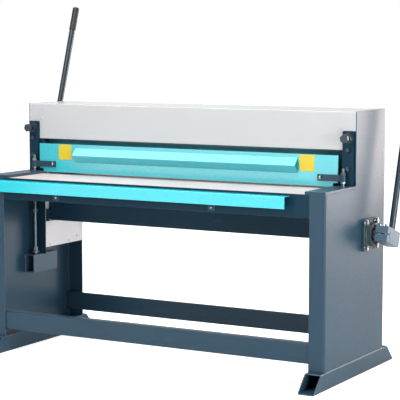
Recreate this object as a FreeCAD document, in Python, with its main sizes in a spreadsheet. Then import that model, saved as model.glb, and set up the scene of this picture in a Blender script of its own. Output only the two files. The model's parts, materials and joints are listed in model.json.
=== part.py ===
import FreeCAD, Part
import math
import operator
import os
import Sketcher

# Guillotine shear worked by two hand levers, in millimetres and degrees.
# X runs to the right from mid-length, Y to the back from the front face of
# the side frames, and Z up from the floor. The knife is shown raised.

Vector = FreeCAD.Vector

# The driving sizes. Each one is a cell of the sheet.
sizes = {
    # folded side frames, each an L seen from the side
    "halfWidth": 794,        # from mid-length to a side frame's outer face
    "frameSheet": 6,
    "frameDepth": 583,
    "columnFront": 286,      # front edge of the tall part
    "tableHeight": 760,
    "columnRise": 308,       # top of the cover above the table
    "frontLip": 68,
    "rearLip": 80,
    "bendRadius": 10,
    # square tube feet with mitred ends
    "footSize": 70,
    "footWall": 4,
    "footFrontReach": 93,
    "footRearReach": 113,
    # tubes between the side frames
    "barHeight": 80,
    "barBottom": 100,
    "barWall": 3,
    "frontBarDepth": 40,
    "rearBarDepth": 20,
    # table, its front beam and the plates beside it
    "frontBeamWall": 10,
    "frontBeamHeight": 91,
    "tableWall": 12,
    "tableInset": 88,        # from a side frame's outer face
    "ledgeSize": 40,
    "ledgeWall": 4,
    "tableScrew": 8,
    # edge strip in front of the table
    "stripReach": 45,
    "stripHeight": 48,
    "stripDrop": 8,          # below the table's top
    "stripWall": 2.5,
    "stripShort": 153,       # the strip ends short of the right side frame
    "stripScrewSpacing": 374,
    "stripScrewDrop": 70,    # below the table's top
    "stripScrew": 6,
    # knives
    "shearPlane": 347,       # rear face of the lower knife
    "knifeInset": 3,         # from the table's end
    "knifeWall": 12,
    "knifeHeight": 60,
    "knifeScrew": 10,
    "knifeScrewSpacing": 250,
    "knifeGap": 0.1,         # between the two knives
    "knifeOpening": 10,      # table to the upper knife's low end
    "knifeRake": 32,         # rise of the upper knife along its length
    "knifeStroke": 72,
    # beams that carry the knives
    "lowerBeamWall": 20,
    "lowerBeamDrop": 213,    # below the table's top
    "beamEndWall": 12,
    "beamEndDepth": 89,
    "beamEndHeight": 55,
    "beamEndDrop": 4,        # below the beam's lower edge
    "mountDepth": 26,
    "beamBoltInset": 7,      # from the column's front wall
    "beamBoltLow": 9,        # above the beam's lower edge
    "beamBoltHigh": 38,
    "upperBeamWall": 20,
    "upperBeamDrop": 28,     # below the cover's top
    "upperBeamEndGap": 4,
    "beamKnifeOffset": 12,   # upper beam's lower edge above the knife's
    # front wall of each column, guides and their bolts
    "columnPlateFront": 290,
    "columnPlateWall": 6,
    "guidePlateWall": 15,
    "guidePlateWidth": 47,
    "guidePlateDrop": 80,    # below the cover's top
    "guideScrewDrop": 72,    # below the guide plate's top
    "guideScrewRise": 80,    # above the table
    "guideBolt": 20,
    "guideBoltReach": 46,    # head's face in front of the guide plate
    "guideBoltInset": 30,    # from the side frame's outer face
    "guideBoltDrop": 26,     # below the guide plate's top
    "guideRunning": 0.1,
    "guideDrop": 58,         # below the cover's top
    "guideFoot": 40,         # below the table's top
    "guideHeadDrop": 173,    # below the cover's top
    "guideWidth": 18,
    "guideHeadWidth": 48,
    "rearGuideWall": 16,
    # sheet cover over the upper beam
    "coverSheet": 2,
    "coverFrontDrop": 154,   # front flange, down from the top
    "coverRearDrop": 168,    # rear flange, down from the top
    "coverGap": 4,
    "coverNotchGap": 2,      # above the guide plate
    "coverScrewInset": 9,    # from the lips' inner edges
    "coverScrewRise": 14,    # above the notch
    "coverScrewDrop": 20,    # below the cover's top
    "rearScrewRise": 25,     # above the rear flange's edge
    "rearScrewDrop": 40,     # below the cover's top
    "coverNotchWidth": 58,   # from a side frame's outer face
    # sheet panels that close the columns towards the middle
    "panelSheet": 2,
    "panelBottom": 425,
    "panelDrop": 60,         # below the table's top
    "panelScrewInset": 31,   # from the column's front wall
    "panelScrewPitch": 151,
    "panelScrewRise": 13,    # above the panel's lower edge
    "panelRearInset": 62,    # last screw, behind the second
    "panelRearRise": 28,
    "panelRail": 40,
    "panelScrew": 5,
    # cross shaft, its bearings and cranks
    "shaftBack": 407,
    "shaftDrop": 192,        # below the table's top
    "shaftDiameter": 40,
    "shaftEndDiameter": 32,
    "flangeSize": 130,
    "flangeWall": 14,
    "flangePitch": 102,
    "flangeBolt": 12,
    "bossDiameter": 96,
    "bossReach": 32,         # from the side frame's outer face
    "insertDiameter": 78,
    "ringDiameter": 56,
    "ringReach": 44,
    "crankRadius": 59,
    "crankRise": 37.5,       # above level with the knife raised
    "crankHub": 64,
    "crankBoss": 36,
    "crankWall": 16,
    "crankPin": 16,
    "rollerDiameter": 24,
    "rollerPlay": 1.5,
    # yokes and pull rods that the cranks draw down
    "yokeInset": 50,         # middle of a yoke from the frame's outer face
    "yokeWall": 16,
    "yokeRim": 8,
    "yokeNeck": 24,
    "pullRod": 12,
    "pullRodBack": 347,
    "lugWidth": 26,
    "lugHeight": 45,
    "lugRise": 30,           # above the table
    # levers and their clamps
    "leverLean": 17.8,
    "leverOffset": 66,       # lever's axis behind the shaft's
    "leverLength": 998,
    "leverDiameter": 27,
    "leverWall": 2.5,
    "gripLength": 105,
    "gripWall": 1.6,
    "gripEnd": 3,
    "clampWidth": 55,
    "clampLength": 131,
    "clampHeight": 63,
    "clampNose": 36,
    "clampGap": 3,           # between a bearing ring and a clamp
    "clampSlit": 4,
    "clampScrew": 8,
    "clampScrewInset": 7,    # from the clamp's nose
    "leverFoot": 20,         # of the tube below the clamp's middle
    # hold-down with its guard, arms and sprung rods
    "guardFront": 266,
    "guardWall": 4,
    "guardEndGap": 25,       # from the guard's end to a rod's axis
    "guardRise": 133,        # above the table
    "guardNotch": 14,        # above the guard's lower edge
    "holdDownOpening": 8.2,
    "holdDownStroke": 8,
    "padWall": 8,
    "barTubeDepth": 70,
    "barTubeHeight": 50,
    "barTubeWall": 4,
    "ridgeLeftInset": 192,   # from the guard's end
    "ridgeRightInset": 178,
    "ridgeDrop": 15,         # below the guard's top
    "ridgeHeight": 63,
    "ridgeReach": 30,
    "ridgeWall": 4,
    "armLap": 87,            # of an arm on the guard
    "armHeight": 26,
    "armRise": 30,           # above the table
    "armWall": 8,
    "armScrew": 8,
    "armScrewInset": 13,
    "armSlot": 12,           # play of the arm on its screw
    "sleeveDiameter": 22,
    "rodInset": 45,          # a rod's axis from the frame's outer face
    "rodBack": 262,
    "rodDiameter": 12,
    "rodProud": 26,          # above the arms
    "rodBottom": 350,
    "rodPlay": 0.5,
    "bracketWidth": 50,
    "bracketHeight": 80,
    "bracketWall": 4,
    "bracketTop": 395,
    "bracketFront": 232,
    "bracketBack": 412,
    "markerSize": 66,
    "markerInset": 137,      # from the guard's end
    "markerDrop": 2,         # below the guard's top
    # springs
    "holdSpringDrop": 163,   # lower seat, below the table's top
    "holdSpringDiameter": 22,
    "holdSpringWire": 3,
    "returnSpringDiameter": 30,
    "returnSpringWire": 4,
    "returnSpringInset": 54,
    "returnSpringBack": 430,
    "springPin": 10,
    "springPinDrop": 28,     # below the cover's top
    "springPinRise": 66,     # above the table
    # fits
    "screwPlay": 0.1,        # radial, between a screw and its hole
    "runningPlay": 0.05,     # radial, in the bearings
    "seatGap": 0.3,          # between a spring's end and its seat
}

holdSpringTurns = 22
returnSpringTurns = 22

doc = FreeCAD.newDocument("shear")
sheet = doc.addObject("Spreadsheet::Sheet", "Sizes")


class Size:
    """A number together with the sheet expression that gives it."""

    def __init__(self, text, value):
        self.text = text
        self.value = value

    def __add__(self, other):
        return combine(self, "+", other)

    def __radd__(self, other):
        return combine(other, "+", self)

    def __sub__(self, other):
        return combine(self, "-", other)

    def __rsub__(self, other):
        return combine(other, "-", self)

    def __mul__(self, other):
        return combine(self, "*", other)

    def __rmul__(self, other):
        return combine(other, "*", self)

    def __truediv__(self, other):
        return combine(self, "/", other)

    def __neg__(self):
        return combine(0, "-", self)


signs = {"+": operator.add, "-": operator.sub, "*": operator.mul, "/": operator.truediv}


def asSize(number):
    return number if isinstance(number, Size) else Size(f"({number!r})", number)


def combine(left, sign, right):
    left, right = asSize(left), asSize(right)
    return Size(f"({left.text} {sign} {right.text})", signs[sign](left.value, right.value))


def sine(angle):
    return Size(f"sin({angle.text})", math.sin(math.radians(angle.value)))


def cosine(angle):
    return Size(f"cos({angle.text})", math.cos(math.radians(angle.value)))


def fillSheet():
    cells = {}
    for row, (name, value) in enumerate(sizes.items(), 1):
        sheet.set(f"A{row}", name)
        sheet.set(f"B{row}", str(value))
        sheet.setAlias(f"B{row}", name)
        cells[name] = Size(f"Sizes.{name}", float(value))
    doc.recompute()
    return cells


class Places:
    """The driving sizes, and the places worked out from them, by name."""


s = Places()
s.__dict__.update(fillSheet())
kept = {}


def bind(item, name, size):
    item.setExpression(name, asSize(size).text)


def keep(label, item):
    item.Label = label
    kept[label] = item
    return item


# Building blocks

def block(label, x, y, z):
    """A box between two places along each axis."""
    box = doc.addObject("Part::Box", label)
    for side, (low, high) in zip(("Length", "Width", "Height"), (x, y, z)):
        bind(box, side, asSize(high) - low)
    for axis, (low, high) in zip("xyz", (x, y, z)):
        bind(box, f"Placement.Base.{axis}", low)
    return box


turns = {
    "X": FreeCAD.Rotation(Vector(0, 1, 0), 90),
    "Y": FreeCAD.Rotation(Vector(1, 0, 0), -90),
    "Z": FreeCAD.Rotation(),
}


def along(item, axis, centre, low):
    """Stand a round or six-sided piece on an axis, starting at low."""
    item.Placement = FreeCAD.Placement(Vector(), turns[axis])
    across = iter(centre)
    for name in "XYZ":
        bind(item, f"Placement.Base.{name.lower()}", low if name == axis else next(across))
    return item


def cylinder(label, axis, centre, span, diameter):
    item = doc.addObject("Part::Cylinder", label)
    bind(item, "Radius", asSize(diameter) / 2)
    bind(item, "Height", asSize(span[1]) - span[0])
    return along(item, axis, centre, span[0])


def hexagon(label, axis, centre, span, flats):
    item = doc.addObject("Part::Prism", label)
    item.Polygon = 6
    bind(item, "Circumradius", asSize(flats) / math.sqrt(3))
    bind(item, "Height", asSize(span[1]) - span[0])
    return along(item, axis, centre, span[0])


def cone(label, axis, centre, span, diameters):
    item = doc.addObject("Part::Cone", label)
    bind(item, "Radius1", asSize(diameters[0]) / 2)
    bind(item, "Radius2", asSize(diameters[1]) / 2)
    bind(item, "Height", asSize(span[1]) - span[0])
    return along(item, axis, centre, span[0])


def join(label, items):
    if len(items) == 1:
        return items[0]
    whole = doc.addObject("Part::MultiFuse", label)
    whole.Shapes = items
    whole.Refine = True
    return whole


def cut(label, base, tools):
    rest = doc.addObject("Part::Cut", label)
    rest.Base = base
    rest.Tool = join(label + "Tools", tools)
    return rest


def group(label, items):
    """Separate solids that share one node."""
    together = doc.addObject("Part::Compound", label)
    together.Links = items
    return together


def mirrored(label, source):
    item = doc.addObject("Part::Mirroring", label)
    item.Source = source
    item.Base = Vector(0, 0, 0)
    item.Normal = Vector(1, 0, 0)
    return item


def pair(label, items):
    """The right-hand solids and their mirror images, in one node."""
    return group(label, items + [mirrored(item.Name + "Left", item) for item in items])


def hinged(item, back, height, angle):
    """Turn a piece built about the X axis, tops to the back, and lift it to its axis."""
    item.Placement = FreeCAD.Placement(Vector(), FreeCAD.Rotation(Vector(-1, 0, 0), 10))
    bind(item, "Placement.Base.y", back)
    bind(item, "Placement.Base.z", height)
    bind(item, "Placement.Rotation.Angle", angle)
    return item


# Bodies of sketched features

normals = {"XY": 1, "XZ": -1, "YZ": 1}


def newBody(label):
    return doc.addObject("PartDesign::Body", label)


def newSketch(body, plane, offset):
    sketch = body.newObject("Sketcher::SketchObject", body.Name + "Sketch")
    origin = [item for item in body.Origin.OriginFeatures if item.Role == plane + "_Plane"][0]
    sketch.AttachmentSupport = [(origin, "")]
    sketch.MapMode = "FlatFace"
    bind(sketch, "AttachmentOffset.Base.z", asSize(offset) * normals[plane])
    return sketch


def pin(sketch, kind, geometry, point, size):
    """Hold one coordinate of a sketch point to a size."""
    size = asSize(size)
    index = sketch.addConstraint(Sketcher.Constraint(kind, -1, 1, geometry, point, size.value))
    sketch.setExpression(f"Constraints[{index}]", size.text)


def drawOutline(sketch, points):
    first = sketch.GeometryCount
    corners = [Vector(asSize(u).value, asSize(v).value, 0) for u, v in points]
    for start, end in zip(corners, corners[1:] + corners[:1]):
        sketch.addGeometry(Part.LineSegment(start, end))
    for index, (u, v) in enumerate(points):
        line = first + index
        following = first + (index + 1) % len(points)
        sketch.addConstraint(Sketcher.Constraint("Coincident", line, 2, following, 1))
        pin(sketch, "DistanceX", line, 1, u)
        pin(sketch, "DistanceY", line, 1, v)


def drawCircles(sketch, centres, diameter):
    radius = asSize(diameter) / 2
    for u, v in centres:
        middle = Vector(asSize(u).value, asSize(v).value, 0)
        index = sketch.addGeometry(Part.Circle(middle, Vector(0, 0, 1), radius.value))
        number = sketch.addConstraint(Sketcher.Constraint("Radius", index, radius.value))
        sketch.setExpression(f"Constraints[{number}]", radius.text)
        pin(sketch, "DistanceX", index, 3, u)
        pin(sketch, "DistanceY", index, 3, v)


def pad(body, plane, span, points=(), circles=(), diameter=0):
    """Add material between two places along a plane's axis."""
    low, high = span
    sketch = newSketch(body, plane, low if normals[plane] > 0 else high)
    if points:
        drawOutline(sketch, points)
    if circles:
        drawCircles(sketch, circles, diameter)
    feature = body.newObject("PartDesign::Pad", body.Name + "Pad")
    feature.Profile = sketch
    bind(feature, "Length", asSize(high) - low)
    doc.recompute()
    return feature


def pocket(body, plane, span=None, points=(), circles=(), diameter=0):
    """Cut between two places along a plane's axis, or right through."""
    sketch = newSketch(body, plane, 0 if span is None else span[1] if normals[plane] > 0 else span[0])
    if points:
        drawOutline(sketch, points)
    if circles:
        drawCircles(sketch, circles, diameter)
    before = body.Shape.Volume
    feature = body.newObject("PartDesign::Pocket", body.Name + "Pocket")
    feature.Profile = sketch
    if span is None:
        feature.Type = "ThroughAll"
        feature.SideType = "Symmetric"
    else:
        bind(feature, "Length", asSize(span[1]) - span[0])
    doc.recompute()
    if body.Shape.Volume > before - 1:
        raise RuntimeError(f"{body.Name}: a pocket cuts nothing")
    return feature


def near(number, size):
    return abs(number - asSize(size).value) < 0.01


def roundEdges(body, radius, axis, test):
    """Fillet the edges along an axis whose two ends pass the test."""
    base = body.Tip
    names = []
    for index, edge in enumerate(body.Shape.Edges, 1):
        box = edge.BoundBox
        reach = {"X": box.XLength, "Y": box.YLength, "Z": box.ZLength}[axis]
        if reach > 0.99 * edge.Length and all(test(vertex.Point) for vertex in edge.Vertexes):
            names.append(f"Edge{index}")
    fillet = body.newObject("PartDesign::Fillet", body.Name + "Fillet")
    fillet.Base = (base, names)
    bind(fillet, "Radius", radius)
    doc.recompute()
    return fillet


def boltHead(label, axis, centre, places, flats, shank):
    """A hexagon head between the first two places, and its shank up to the last."""
    head, seat, end = places
    low, high = (head, seat) if asSize(head).value < asSize(seat).value else (seat, head)
    near_, far = (seat, end) if asSize(seat).value < asSize(end).value else (end, seat)
    return join(label, [
        hexagon(label + "Head", axis, centre, (low, high), flats),
        cylinder(label + "Shank", axis, centre, (near_, far), shank),
    ])


def ringPiece(label, axis, centre, span, outer, bore):
    body = cylinder(label + "Outside", axis, centre, span, outer)
    hole = cylinder(label + "Bore", axis, centre, span, bore)
    return cut(label, body, [hole])


# Places worked out once and shared

s.columnHeight = s.tableHeight + s.columnRise
s.shaftHeight = s.tableHeight - s.shaftDrop
s.tableHalf = s.halfWidth - s.tableInset
s.knifeHalf = s.tableHalf - s.knifeInset
s.stripRight = s.halfWidth - s.stripShort
s.coverNotchInner = s.halfWidth - s.coverNotchWidth
s.webInner = s.halfWidth - s.frameSheet
s.lipInner = s.halfWidth - s.rearLip
s.rearInner = s.frameDepth - s.frameSheet
s.columnPlateBack = s.columnPlateFront + s.columnPlateWall
s.tableBottom = s.tableHeight - s.tableWall
s.lowerKnifeFront = s.shearPlane - s.knifeWall
s.lowerBeamFront = s.lowerKnifeFront - s.lowerBeamWall
s.upperKnifeFront = s.shearPlane + s.knifeGap
s.upperBeamFront = s.upperKnifeFront + s.knifeWall
s.upperBeamBack = s.upperBeamFront + s.upperBeamWall
s.panelInner = s.lipInner - s.panelSheet
s.rodSide = s.halfWidth - s.rodInset
s.yokeSide = s.halfWidth - s.yokeInset
s.boltSide = s.halfWidth - s.guideBoltInset
s.ringEnd = s.halfWidth + s.ringReach
s.clampInner = s.ringEnd + s.clampGap
s.clampOuter = s.clampInner + s.clampWidth
s.guardBottom = s.tableHeight + s.holdDownOpening
s.padTop = s.guardBottom + s.padWall
s.guardBack = s.guardFront + s.guardWall
s.pinBack = s.shaftBack - s.crankRadius * cosine(s.crankRise)
s.pinHeight = s.shaftHeight + s.crankRadius * sine(s.crankRise)
s.coverHalf = s.webInner - s.coverGap
s.lowerBeamBottom = s.tableHeight - s.lowerBeamDrop
s.upperBeamTop = s.columnHeight - s.upperBeamDrop
s.guidePlateTop = s.columnHeight - s.guidePlateDrop
s.guideBoltHeight = s.guidePlateTop - s.guideBoltDrop
s.guideTop = s.columnHeight - s.guideDrop
s.guideHeadBottom = s.columnHeight - s.guideHeadDrop
s.guideBottom = s.tableHeight - s.guideFoot
s.coverBottom = s.columnHeight - s.coverFrontDrop
s.coverBack = s.columnHeight - s.coverRearDrop
s.coverNotchTop = s.guidePlateTop + s.coverNotchGap
s.panelTop = s.tableHeight - s.panelDrop
s.panelScrewFront = s.columnPlateFront + s.panelScrewInset
s.panelScrewBack = s.panelScrewFront + s.panelScrewPitch
s.lugBottom = s.tableHeight + s.lugRise
s.springPinTop = s.columnHeight - s.springPinDrop
s.springPinBottom = s.tableHeight + s.springPinRise
s.holdSpringSeat = s.tableHeight - s.holdSpringDrop
s.guardHalf = s.rodSide - s.guardEndGap
s.ridgeLeft = s.guardHalf - s.ridgeLeftInset
s.ridgeRight = s.guardHalf - s.ridgeRightInset
s.markerMiddle = s.guardHalf - s.markerInset
s.guardTop = s.tableHeight + s.guardRise
s.ridgeBottom = s.guardTop - s.ridgeDrop - s.ridgeHeight
s.armInner = s.guardHalf - s.armLap
s.armBottom = s.tableHeight + s.armRise
s.rodTop = s.armBottom + s.armHeight + s.rodProud
s.markerHeight = s.guardTop - s.markerDrop - s.markerSize / 2
s.flangeFace = s.halfWidth + s.flangeWall


def knifeLine(side, above):
    """Height of a line along the upper knife, at a place along X."""
    middle = s.tableHeight + s.knifeOpening + s.knifeRake / 2
    return middle + above + side * s.knifeRake / (2 * s.knifeHalf)


# Bearing bolts sit on a square, and screws along the knives on a row.
flangeCentres = [
    (s.shaftBack + side * s.flangePitch / 2, s.shaftHeight + up * s.flangePitch / 2)
    for side in (-1, 1) for up in (-1, 1)
]
knifeScrewRow = [(number - 2.5) * s.knifeScrewSpacing for number in range(6)]
beamBoltCentres = [
    (s.columnPlateBack + s.screwPlay + s.beamBoltInset, s.lowerBeamBottom + rise)
    for rise in (s.beamBoltLow, s.beamBoltHigh)
]
panelScrewCentres = [
    (s.panelScrewFront, s.panelBottom + s.panelScrewRise),
    (s.panelScrewBack, s.panelBottom + s.panelScrewRise),
    (s.panelScrewBack + s.panelRearInset, s.panelBottom + s.panelRearRise),
]
coverScrewHeights = [s.coverNotchTop + s.coverScrewRise, s.columnHeight - s.coverScrewDrop]
rearScrewHeights = [s.coverBack + s.rearScrewRise, s.columnHeight - s.rearScrewDrop]
stripMiddle = (s.stripRight - s.halfWidth) / 2
stripScrewCentres = [
    (stripMiddle - s.stripScrewSpacing, s.tableHeight - s.stripScrewDrop),
    (stripMiddle + s.stripScrewSpacing, s.tableHeight - s.stripScrewDrop),
]
guideScrewCentres = [
    (s.boltSide, s.guidePlateTop - s.guideScrewDrop), (s.boltSide, s.tableHeight + s.guideScrewRise),
]


def sideFrame():
    """Web with bent lips, an inner rail, and the holes of the bearing and screws."""
    body = newBody("right_side_frame")
    pad(body, "XY", (s.footSize, s.tableHeight), [
        (s.halfWidth - s.frontLip, 0), (s.halfWidth, 0), (s.halfWidth, s.frameDepth),
        (s.lipInner, s.frameDepth), (s.lipInner, s.rearInner), (s.webInner, s.rearInner),
        (s.webInner, s.frameSheet), (s.halfWidth - s.frontLip, s.frameSheet),
    ])
    pad(body, "XY", (s.tableHeight, s.columnHeight), [
        (s.webInner, s.columnFront), (s.halfWidth, s.columnFront), (s.halfWidth, s.frameDepth),
        (s.lipInner, s.frameDepth), (s.lipInner, s.rearInner), (s.webInner, s.rearInner),
    ])
    roundEdges(body, s.bendRadius, "Z", lambda p: near(p.x, s.halfWidth) and (
        near(p.y, 0) or near(p.y, s.frameDepth)))
    roundEdges(body, s.bendRadius - s.frameSheet, "Z", lambda p: near(p.x, s.webInner) and (
        near(p.y, s.frameSheet) or near(p.y, s.rearInner)))
    pad(body, "YZ", (s.lipInner, s.lipInner + s.frameSheet), [
        (s.columnPlateBack, s.panelBottom), (s.rearInner, s.panelBottom),
        (s.rearInner, s.panelBottom + s.panelRail), (s.columnPlateBack, s.panelBottom + s.panelRail),
    ])
    pocket(body, "YZ", circles=[(s.shaftBack, s.shaftHeight)], diameter=s.shaftDiameter + 8)
    pocket(body, "YZ", circles=flangeCentres, diameter=s.flangeBolt + 2 * s.screwPlay)
    pocket(body, "YZ", (s.lipInner - 1, s.lipInner + s.frameSheet + 1),
           circles=panelScrewCentres, diameter=s.panelScrew + 2 * s.screwPlay)
    pocket(body, "XZ", (s.rearInner - 1, s.frameDepth + 1),
           circles=[(s.boltSide, height) for height in rearScrewHeights],
           diameter=s.panelScrew + 2 * s.screwPlay)
    keep("right_side_frame", body)
    keep("left_side_frame", mirrored("left_side_frame", body))


def feet():
    """Square tubes with both ends mitred, under the side frames."""
    body = newBody("right_foot")
    back = s.frameDepth + s.footRearReach
    pad(body, "YZ", (s.halfWidth - s.footSize, s.halfWidth), [
        (-s.footFrontReach, 0), (back, 0), (back - s.footSize, s.footSize),
        (s.footSize - s.footFrontReach, s.footSize),
    ])
    inner = s.halfWidth - s.footSize + s.footWall
    outer = s.halfWidth - s.footWall
    pocket(body, "XZ", points=[
        (inner, s.footWall), (outer, s.footWall),
        (outer, s.footSize - s.footWall), (inner, s.footSize - s.footWall),
    ])
    keep("right_foot", body)
    keep("left_foot", mirrored("left_foot", body))


def crossbars():
    """Flat tubes between the two webs, behind the front lips and before the rear ones."""
    top = s.barBottom + s.barHeight
    half = s.webInner - (s.bendRadius - s.frameSheet)
    spans = {
        "front_crossbar": (s.frameSheet, s.frameSheet + s.frontBarDepth),
        "rear_crossbar": (s.rearInner - s.rearBarDepth, s.rearInner),
    }
    for label, (front, back) in spans.items():
        outside = block(label + "Outside", (-half, half), (front, back), (s.barBottom, top))
        inside = block(label + "Inside", (-half, half),
                       (front + s.barWall, back - s.barWall), (s.barBottom + s.barWall, top - s.barWall))
        keep(label, cut(label, outside, [inside]))


def topPlates():
    """Thick plates over the low part of each side frame, beside the table."""
    body = newBody("right_top_plate")
    pad(body, "XY", (s.tableHeight, s.tableHeight + s.tableWall), [
        (s.tableHalf, 0), (s.halfWidth, 0), (s.halfWidth, s.columnFront), (s.webInner, s.columnFront),
        (s.webInner, s.columnPlateFront), (s.tableHalf, s.columnPlateFront),
    ])
    pocket(body, "XY", circles=[(s.rodSide, s.rodBack)], diameter=s.rodDiameter + 2 * s.rodPlay)
    keep("right_top_plate", body)
    keep("left_top_plate", mirrored("left_top_plate", body))


def columnPlates():
    """Front walls of the columns, welded in behind the top plates."""
    body = newBody("columnPlate")
    top = s.columnHeight - s.coverSheet * 2.5
    pad(body, "XZ", (s.columnPlateFront, s.columnPlateBack), [
        (s.lipInner, s.bracketTop), (s.webInner, s.bracketTop),
        (s.webInner, top), (s.lipInner, top),
    ])
    pocket(body, "XZ", circles=[(s.boltSide, s.guideBoltHeight)], diameter=s.guideBolt + 2 * s.screwPlay)
    pocket(body, "XZ", circles=guideScrewCentres, diameter=s.knifeScrew + 2 * s.screwPlay)
    pocket(body, "XZ", circles=[(s.lipInner + s.coverScrewInset, height) for height in coverScrewHeights],
           diameter=s.panelScrew + 2 * s.screwPlay)
    keep("column_plates", pair("column_plates", [body]))


def table():
    """Front beam, ledge and milled table plate."""
    inner = s.halfWidth - s.frontLip
    beam = newBody("front_beam")
    pad(beam, "XZ", (0, s.frontBeamWall), [
        (-inner, s.tableHeight - s.frontBeamHeight), (inner, s.tableHeight - s.frontBeamHeight),
        (inner, s.tableHeight), (-inner, s.tableHeight),
    ])
    pocket(beam, "XZ", circles=stripScrewCentres, diameter=s.stripScrew + 2 * s.screwPlay)
    keep("front_beam", beam)
    ledge = newBody("table_ledge")
    back = s.frontBeamWall
    pad(ledge, "YZ", (-s.tableHalf, s.tableHalf), [
        (back, s.tableBottom), (back, s.tableBottom - s.ledgeSize),
        (back + s.ledgeWall, s.tableBottom - s.ledgeSize), (back + s.ledgeWall, s.tableBottom - s.ledgeWall),
        (back + s.ledgeSize, s.tableBottom - s.ledgeWall), (back + s.ledgeSize, s.tableBottom),
    ])
    pocket(ledge, "XY", circles=tableScrewCentres, diameter=s.tableScrew + 2 * s.screwPlay)
    keep("table_ledge", ledge)
    plate = newBody("table_plate")
    pad(plate, "XY", (s.tableBottom, s.tableHeight), [
        (-s.tableHalf, s.frontBeamWall), (s.tableHalf, s.frontBeamWall),
        (s.tableHalf, s.lowerKnifeFront), (-s.tableHalf, s.lowerKnifeFront),
    ])
    pocket(plate, "XY", (s.tableBottom - 1, s.tableBottom + s.tableWall - 3),
           circles=tableScrewCentres, diameter=s.tableScrew + 2 * s.screwPlay)
    keep("table_plate", plate)


tableScrewCentres = [
    (part * s.tableHalf / 4, s.frontBeamWall + s.ledgeSize * 0.6) for part in (-3, -1, 1, 3)
]


def lowerBeam():
    """Plate that carries the lower knife, with an end plate welded on each end."""
    body = newBody("lower_knife_beam")
    pad(body, "XZ", (s.lowerBeamFront, s.lowerKnifeFront), [
        (-s.panelInner, s.lowerBeamBottom), (s.panelInner, s.lowerBeamBottom),
        (s.panelInner, s.tableBottom), (-s.panelInner, s.tableBottom),
    ])
    low = s.lowerBeamBottom - s.beamEndDrop
    for side in (-1, 1):
        ends = (side * s.panelInner, side * (s.panelInner - s.beamEndWall))
        span = ends if side < 0 else (ends[1], ends[0])
        pad(body, "YZ", span, [
            (s.columnPlateFront + 1, low), (s.columnPlateFront + 1 + s.beamEndDepth, low),
            (s.columnPlateFront + 1 + s.beamEndDepth, low + s.beamEndHeight),
            (s.columnPlateFront + 1, low + s.beamEndHeight),
        ])
    pocket(body, "YZ", circles=beamBoltCentres, diameter=s.flangeBolt + 2 * s.screwPlay)
    pocket(body, "XZ", circles=[(side, lowerScrewHeight) for side in knifeScrewRow],
           diameter=s.knifeScrew + 2 * s.screwPlay)
    keep("lower_knife_beam", body)
    mount = newBody("beamMount")
    pad(mount, "YZ", (s.lipInner, s.webInner), [
        (s.columnPlateBack, low - 3), (s.columnPlateBack + s.mountDepth, low - 3),
        (s.columnPlateBack + s.mountDepth, low + s.beamEndHeight + 2), (s.columnPlateBack, low + s.beamEndHeight + 2),
    ])
    pocket(mount, "YZ", (s.lipInner - 1, s.lipInner + 50),
           circles=beamBoltCentres, diameter=s.flangeBolt + 2 * s.screwPlay)
    keep("beam_mounts", pair("beam_mounts", [mount]))


lowerScrewHeight = s.tableHeight - s.knifeHeight / 2


def knifeBar(label, front, back, points, holes):
    body = newBody(label)
    pad(body, "XZ", (front, back), points)
    pocket(body, "XZ", circles=holes, diameter=s.knifeScrew + 2 * s.screwPlay)
    return body


def countersunk(label, centre, face, end, inwards):
    """Flush screw whose head narrows from its face by half its diameter."""
    head = s.knifeScrew / 2
    wide, slim = s.knifeScrew * 1.9, s.knifeScrew
    if inwards > 0:
        top = cone(label + "Head", "Y", centre, (face, face + head), (wide, slim))
        shank = cylinder(label + "Shank", "Y", centre, (face + head, end), slim)
    else:
        top = cone(label + "Head", "Y", centre, (face - head, face), (slim, wide))
        shank = cylinder(label + "Shank", "Y", centre, (end, face - head), slim)
    return join(label, [top, shank])


def sinks(label, centres, face, inwards):
    """Countersinks for a row of flush screws, a little wider than their heads."""
    head = s.knifeScrew / 2
    play = 2 * s.screwPlay
    wide, slim = s.knifeScrew * 1.9 + play, s.knifeScrew + play
    tools = []
    for number, centre in enumerate(centres):
        if inwards > 0:
            tools.append(cone(f"{label}{number}", "Y", centre, (face, face + head), (wide, slim)))
        else:
            tools.append(cone(f"{label}{number}", "Y", centre, (face - head, face), (slim, wide)))
    return tools


def knives():
    """Lower knife along the table's rear edge, and the raked upper knife behind it."""
    half = s.knifeHalf
    centres = [(side, lowerScrewHeight) for side in knifeScrewRow]
    bar = knifeBar("lowerKnifeBar", s.lowerKnifeFront, s.shearPlane, [
        (-half, s.tableHeight - s.knifeHeight), (half, s.tableHeight - s.knifeHeight),
        (half, s.tableHeight), (-half, s.tableHeight),
    ], centres)
    keep("lower_knife", cut("lower_knife", bar, sinks("lowerSink", centres, s.shearPlane, -1)))
    keep("lower_knife_screws", group("lower_knife_screws", [
        countersunk(f"lowerScrew{number}", centre, s.shearPlane, s.lowerBeamFront, -1)
        for number, centre in enumerate(centres)
    ]))
    bar = knifeBar("upperKnifeBar", s.upperKnifeFront, s.upperBeamFront, [
        (-half, knifeLine(-half, 0)), (half, knifeLine(half, 0)),
        (half, knifeLine(half, s.knifeHeight)), (-half, knifeLine(-half, s.knifeHeight)),
    ], upperScrewCentres)
    keep("upper_knife", cut("upper_knife", bar, sinks("upperSink", upperScrewCentres, s.upperKnifeFront, 1)))
    nut = s.knifeScrew * 0.8
    screws = [
        join(f"upperScrew{number}", [
            countersunk(f"upperScrewBar{number}", centre, s.upperKnifeFront, s.upperBeamBack + nut + 2, 1),
            hexagon(f"upperNut{number}", "Y", centre, (s.upperBeamBack, s.upperBeamBack + nut),
                    s.knifeScrew * 1.7),
        ]) for number, centre in enumerate(upperScrewCentres)
    ]
    keep("upper_knife_screws", group("upper_knife_screws", screws))


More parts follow.
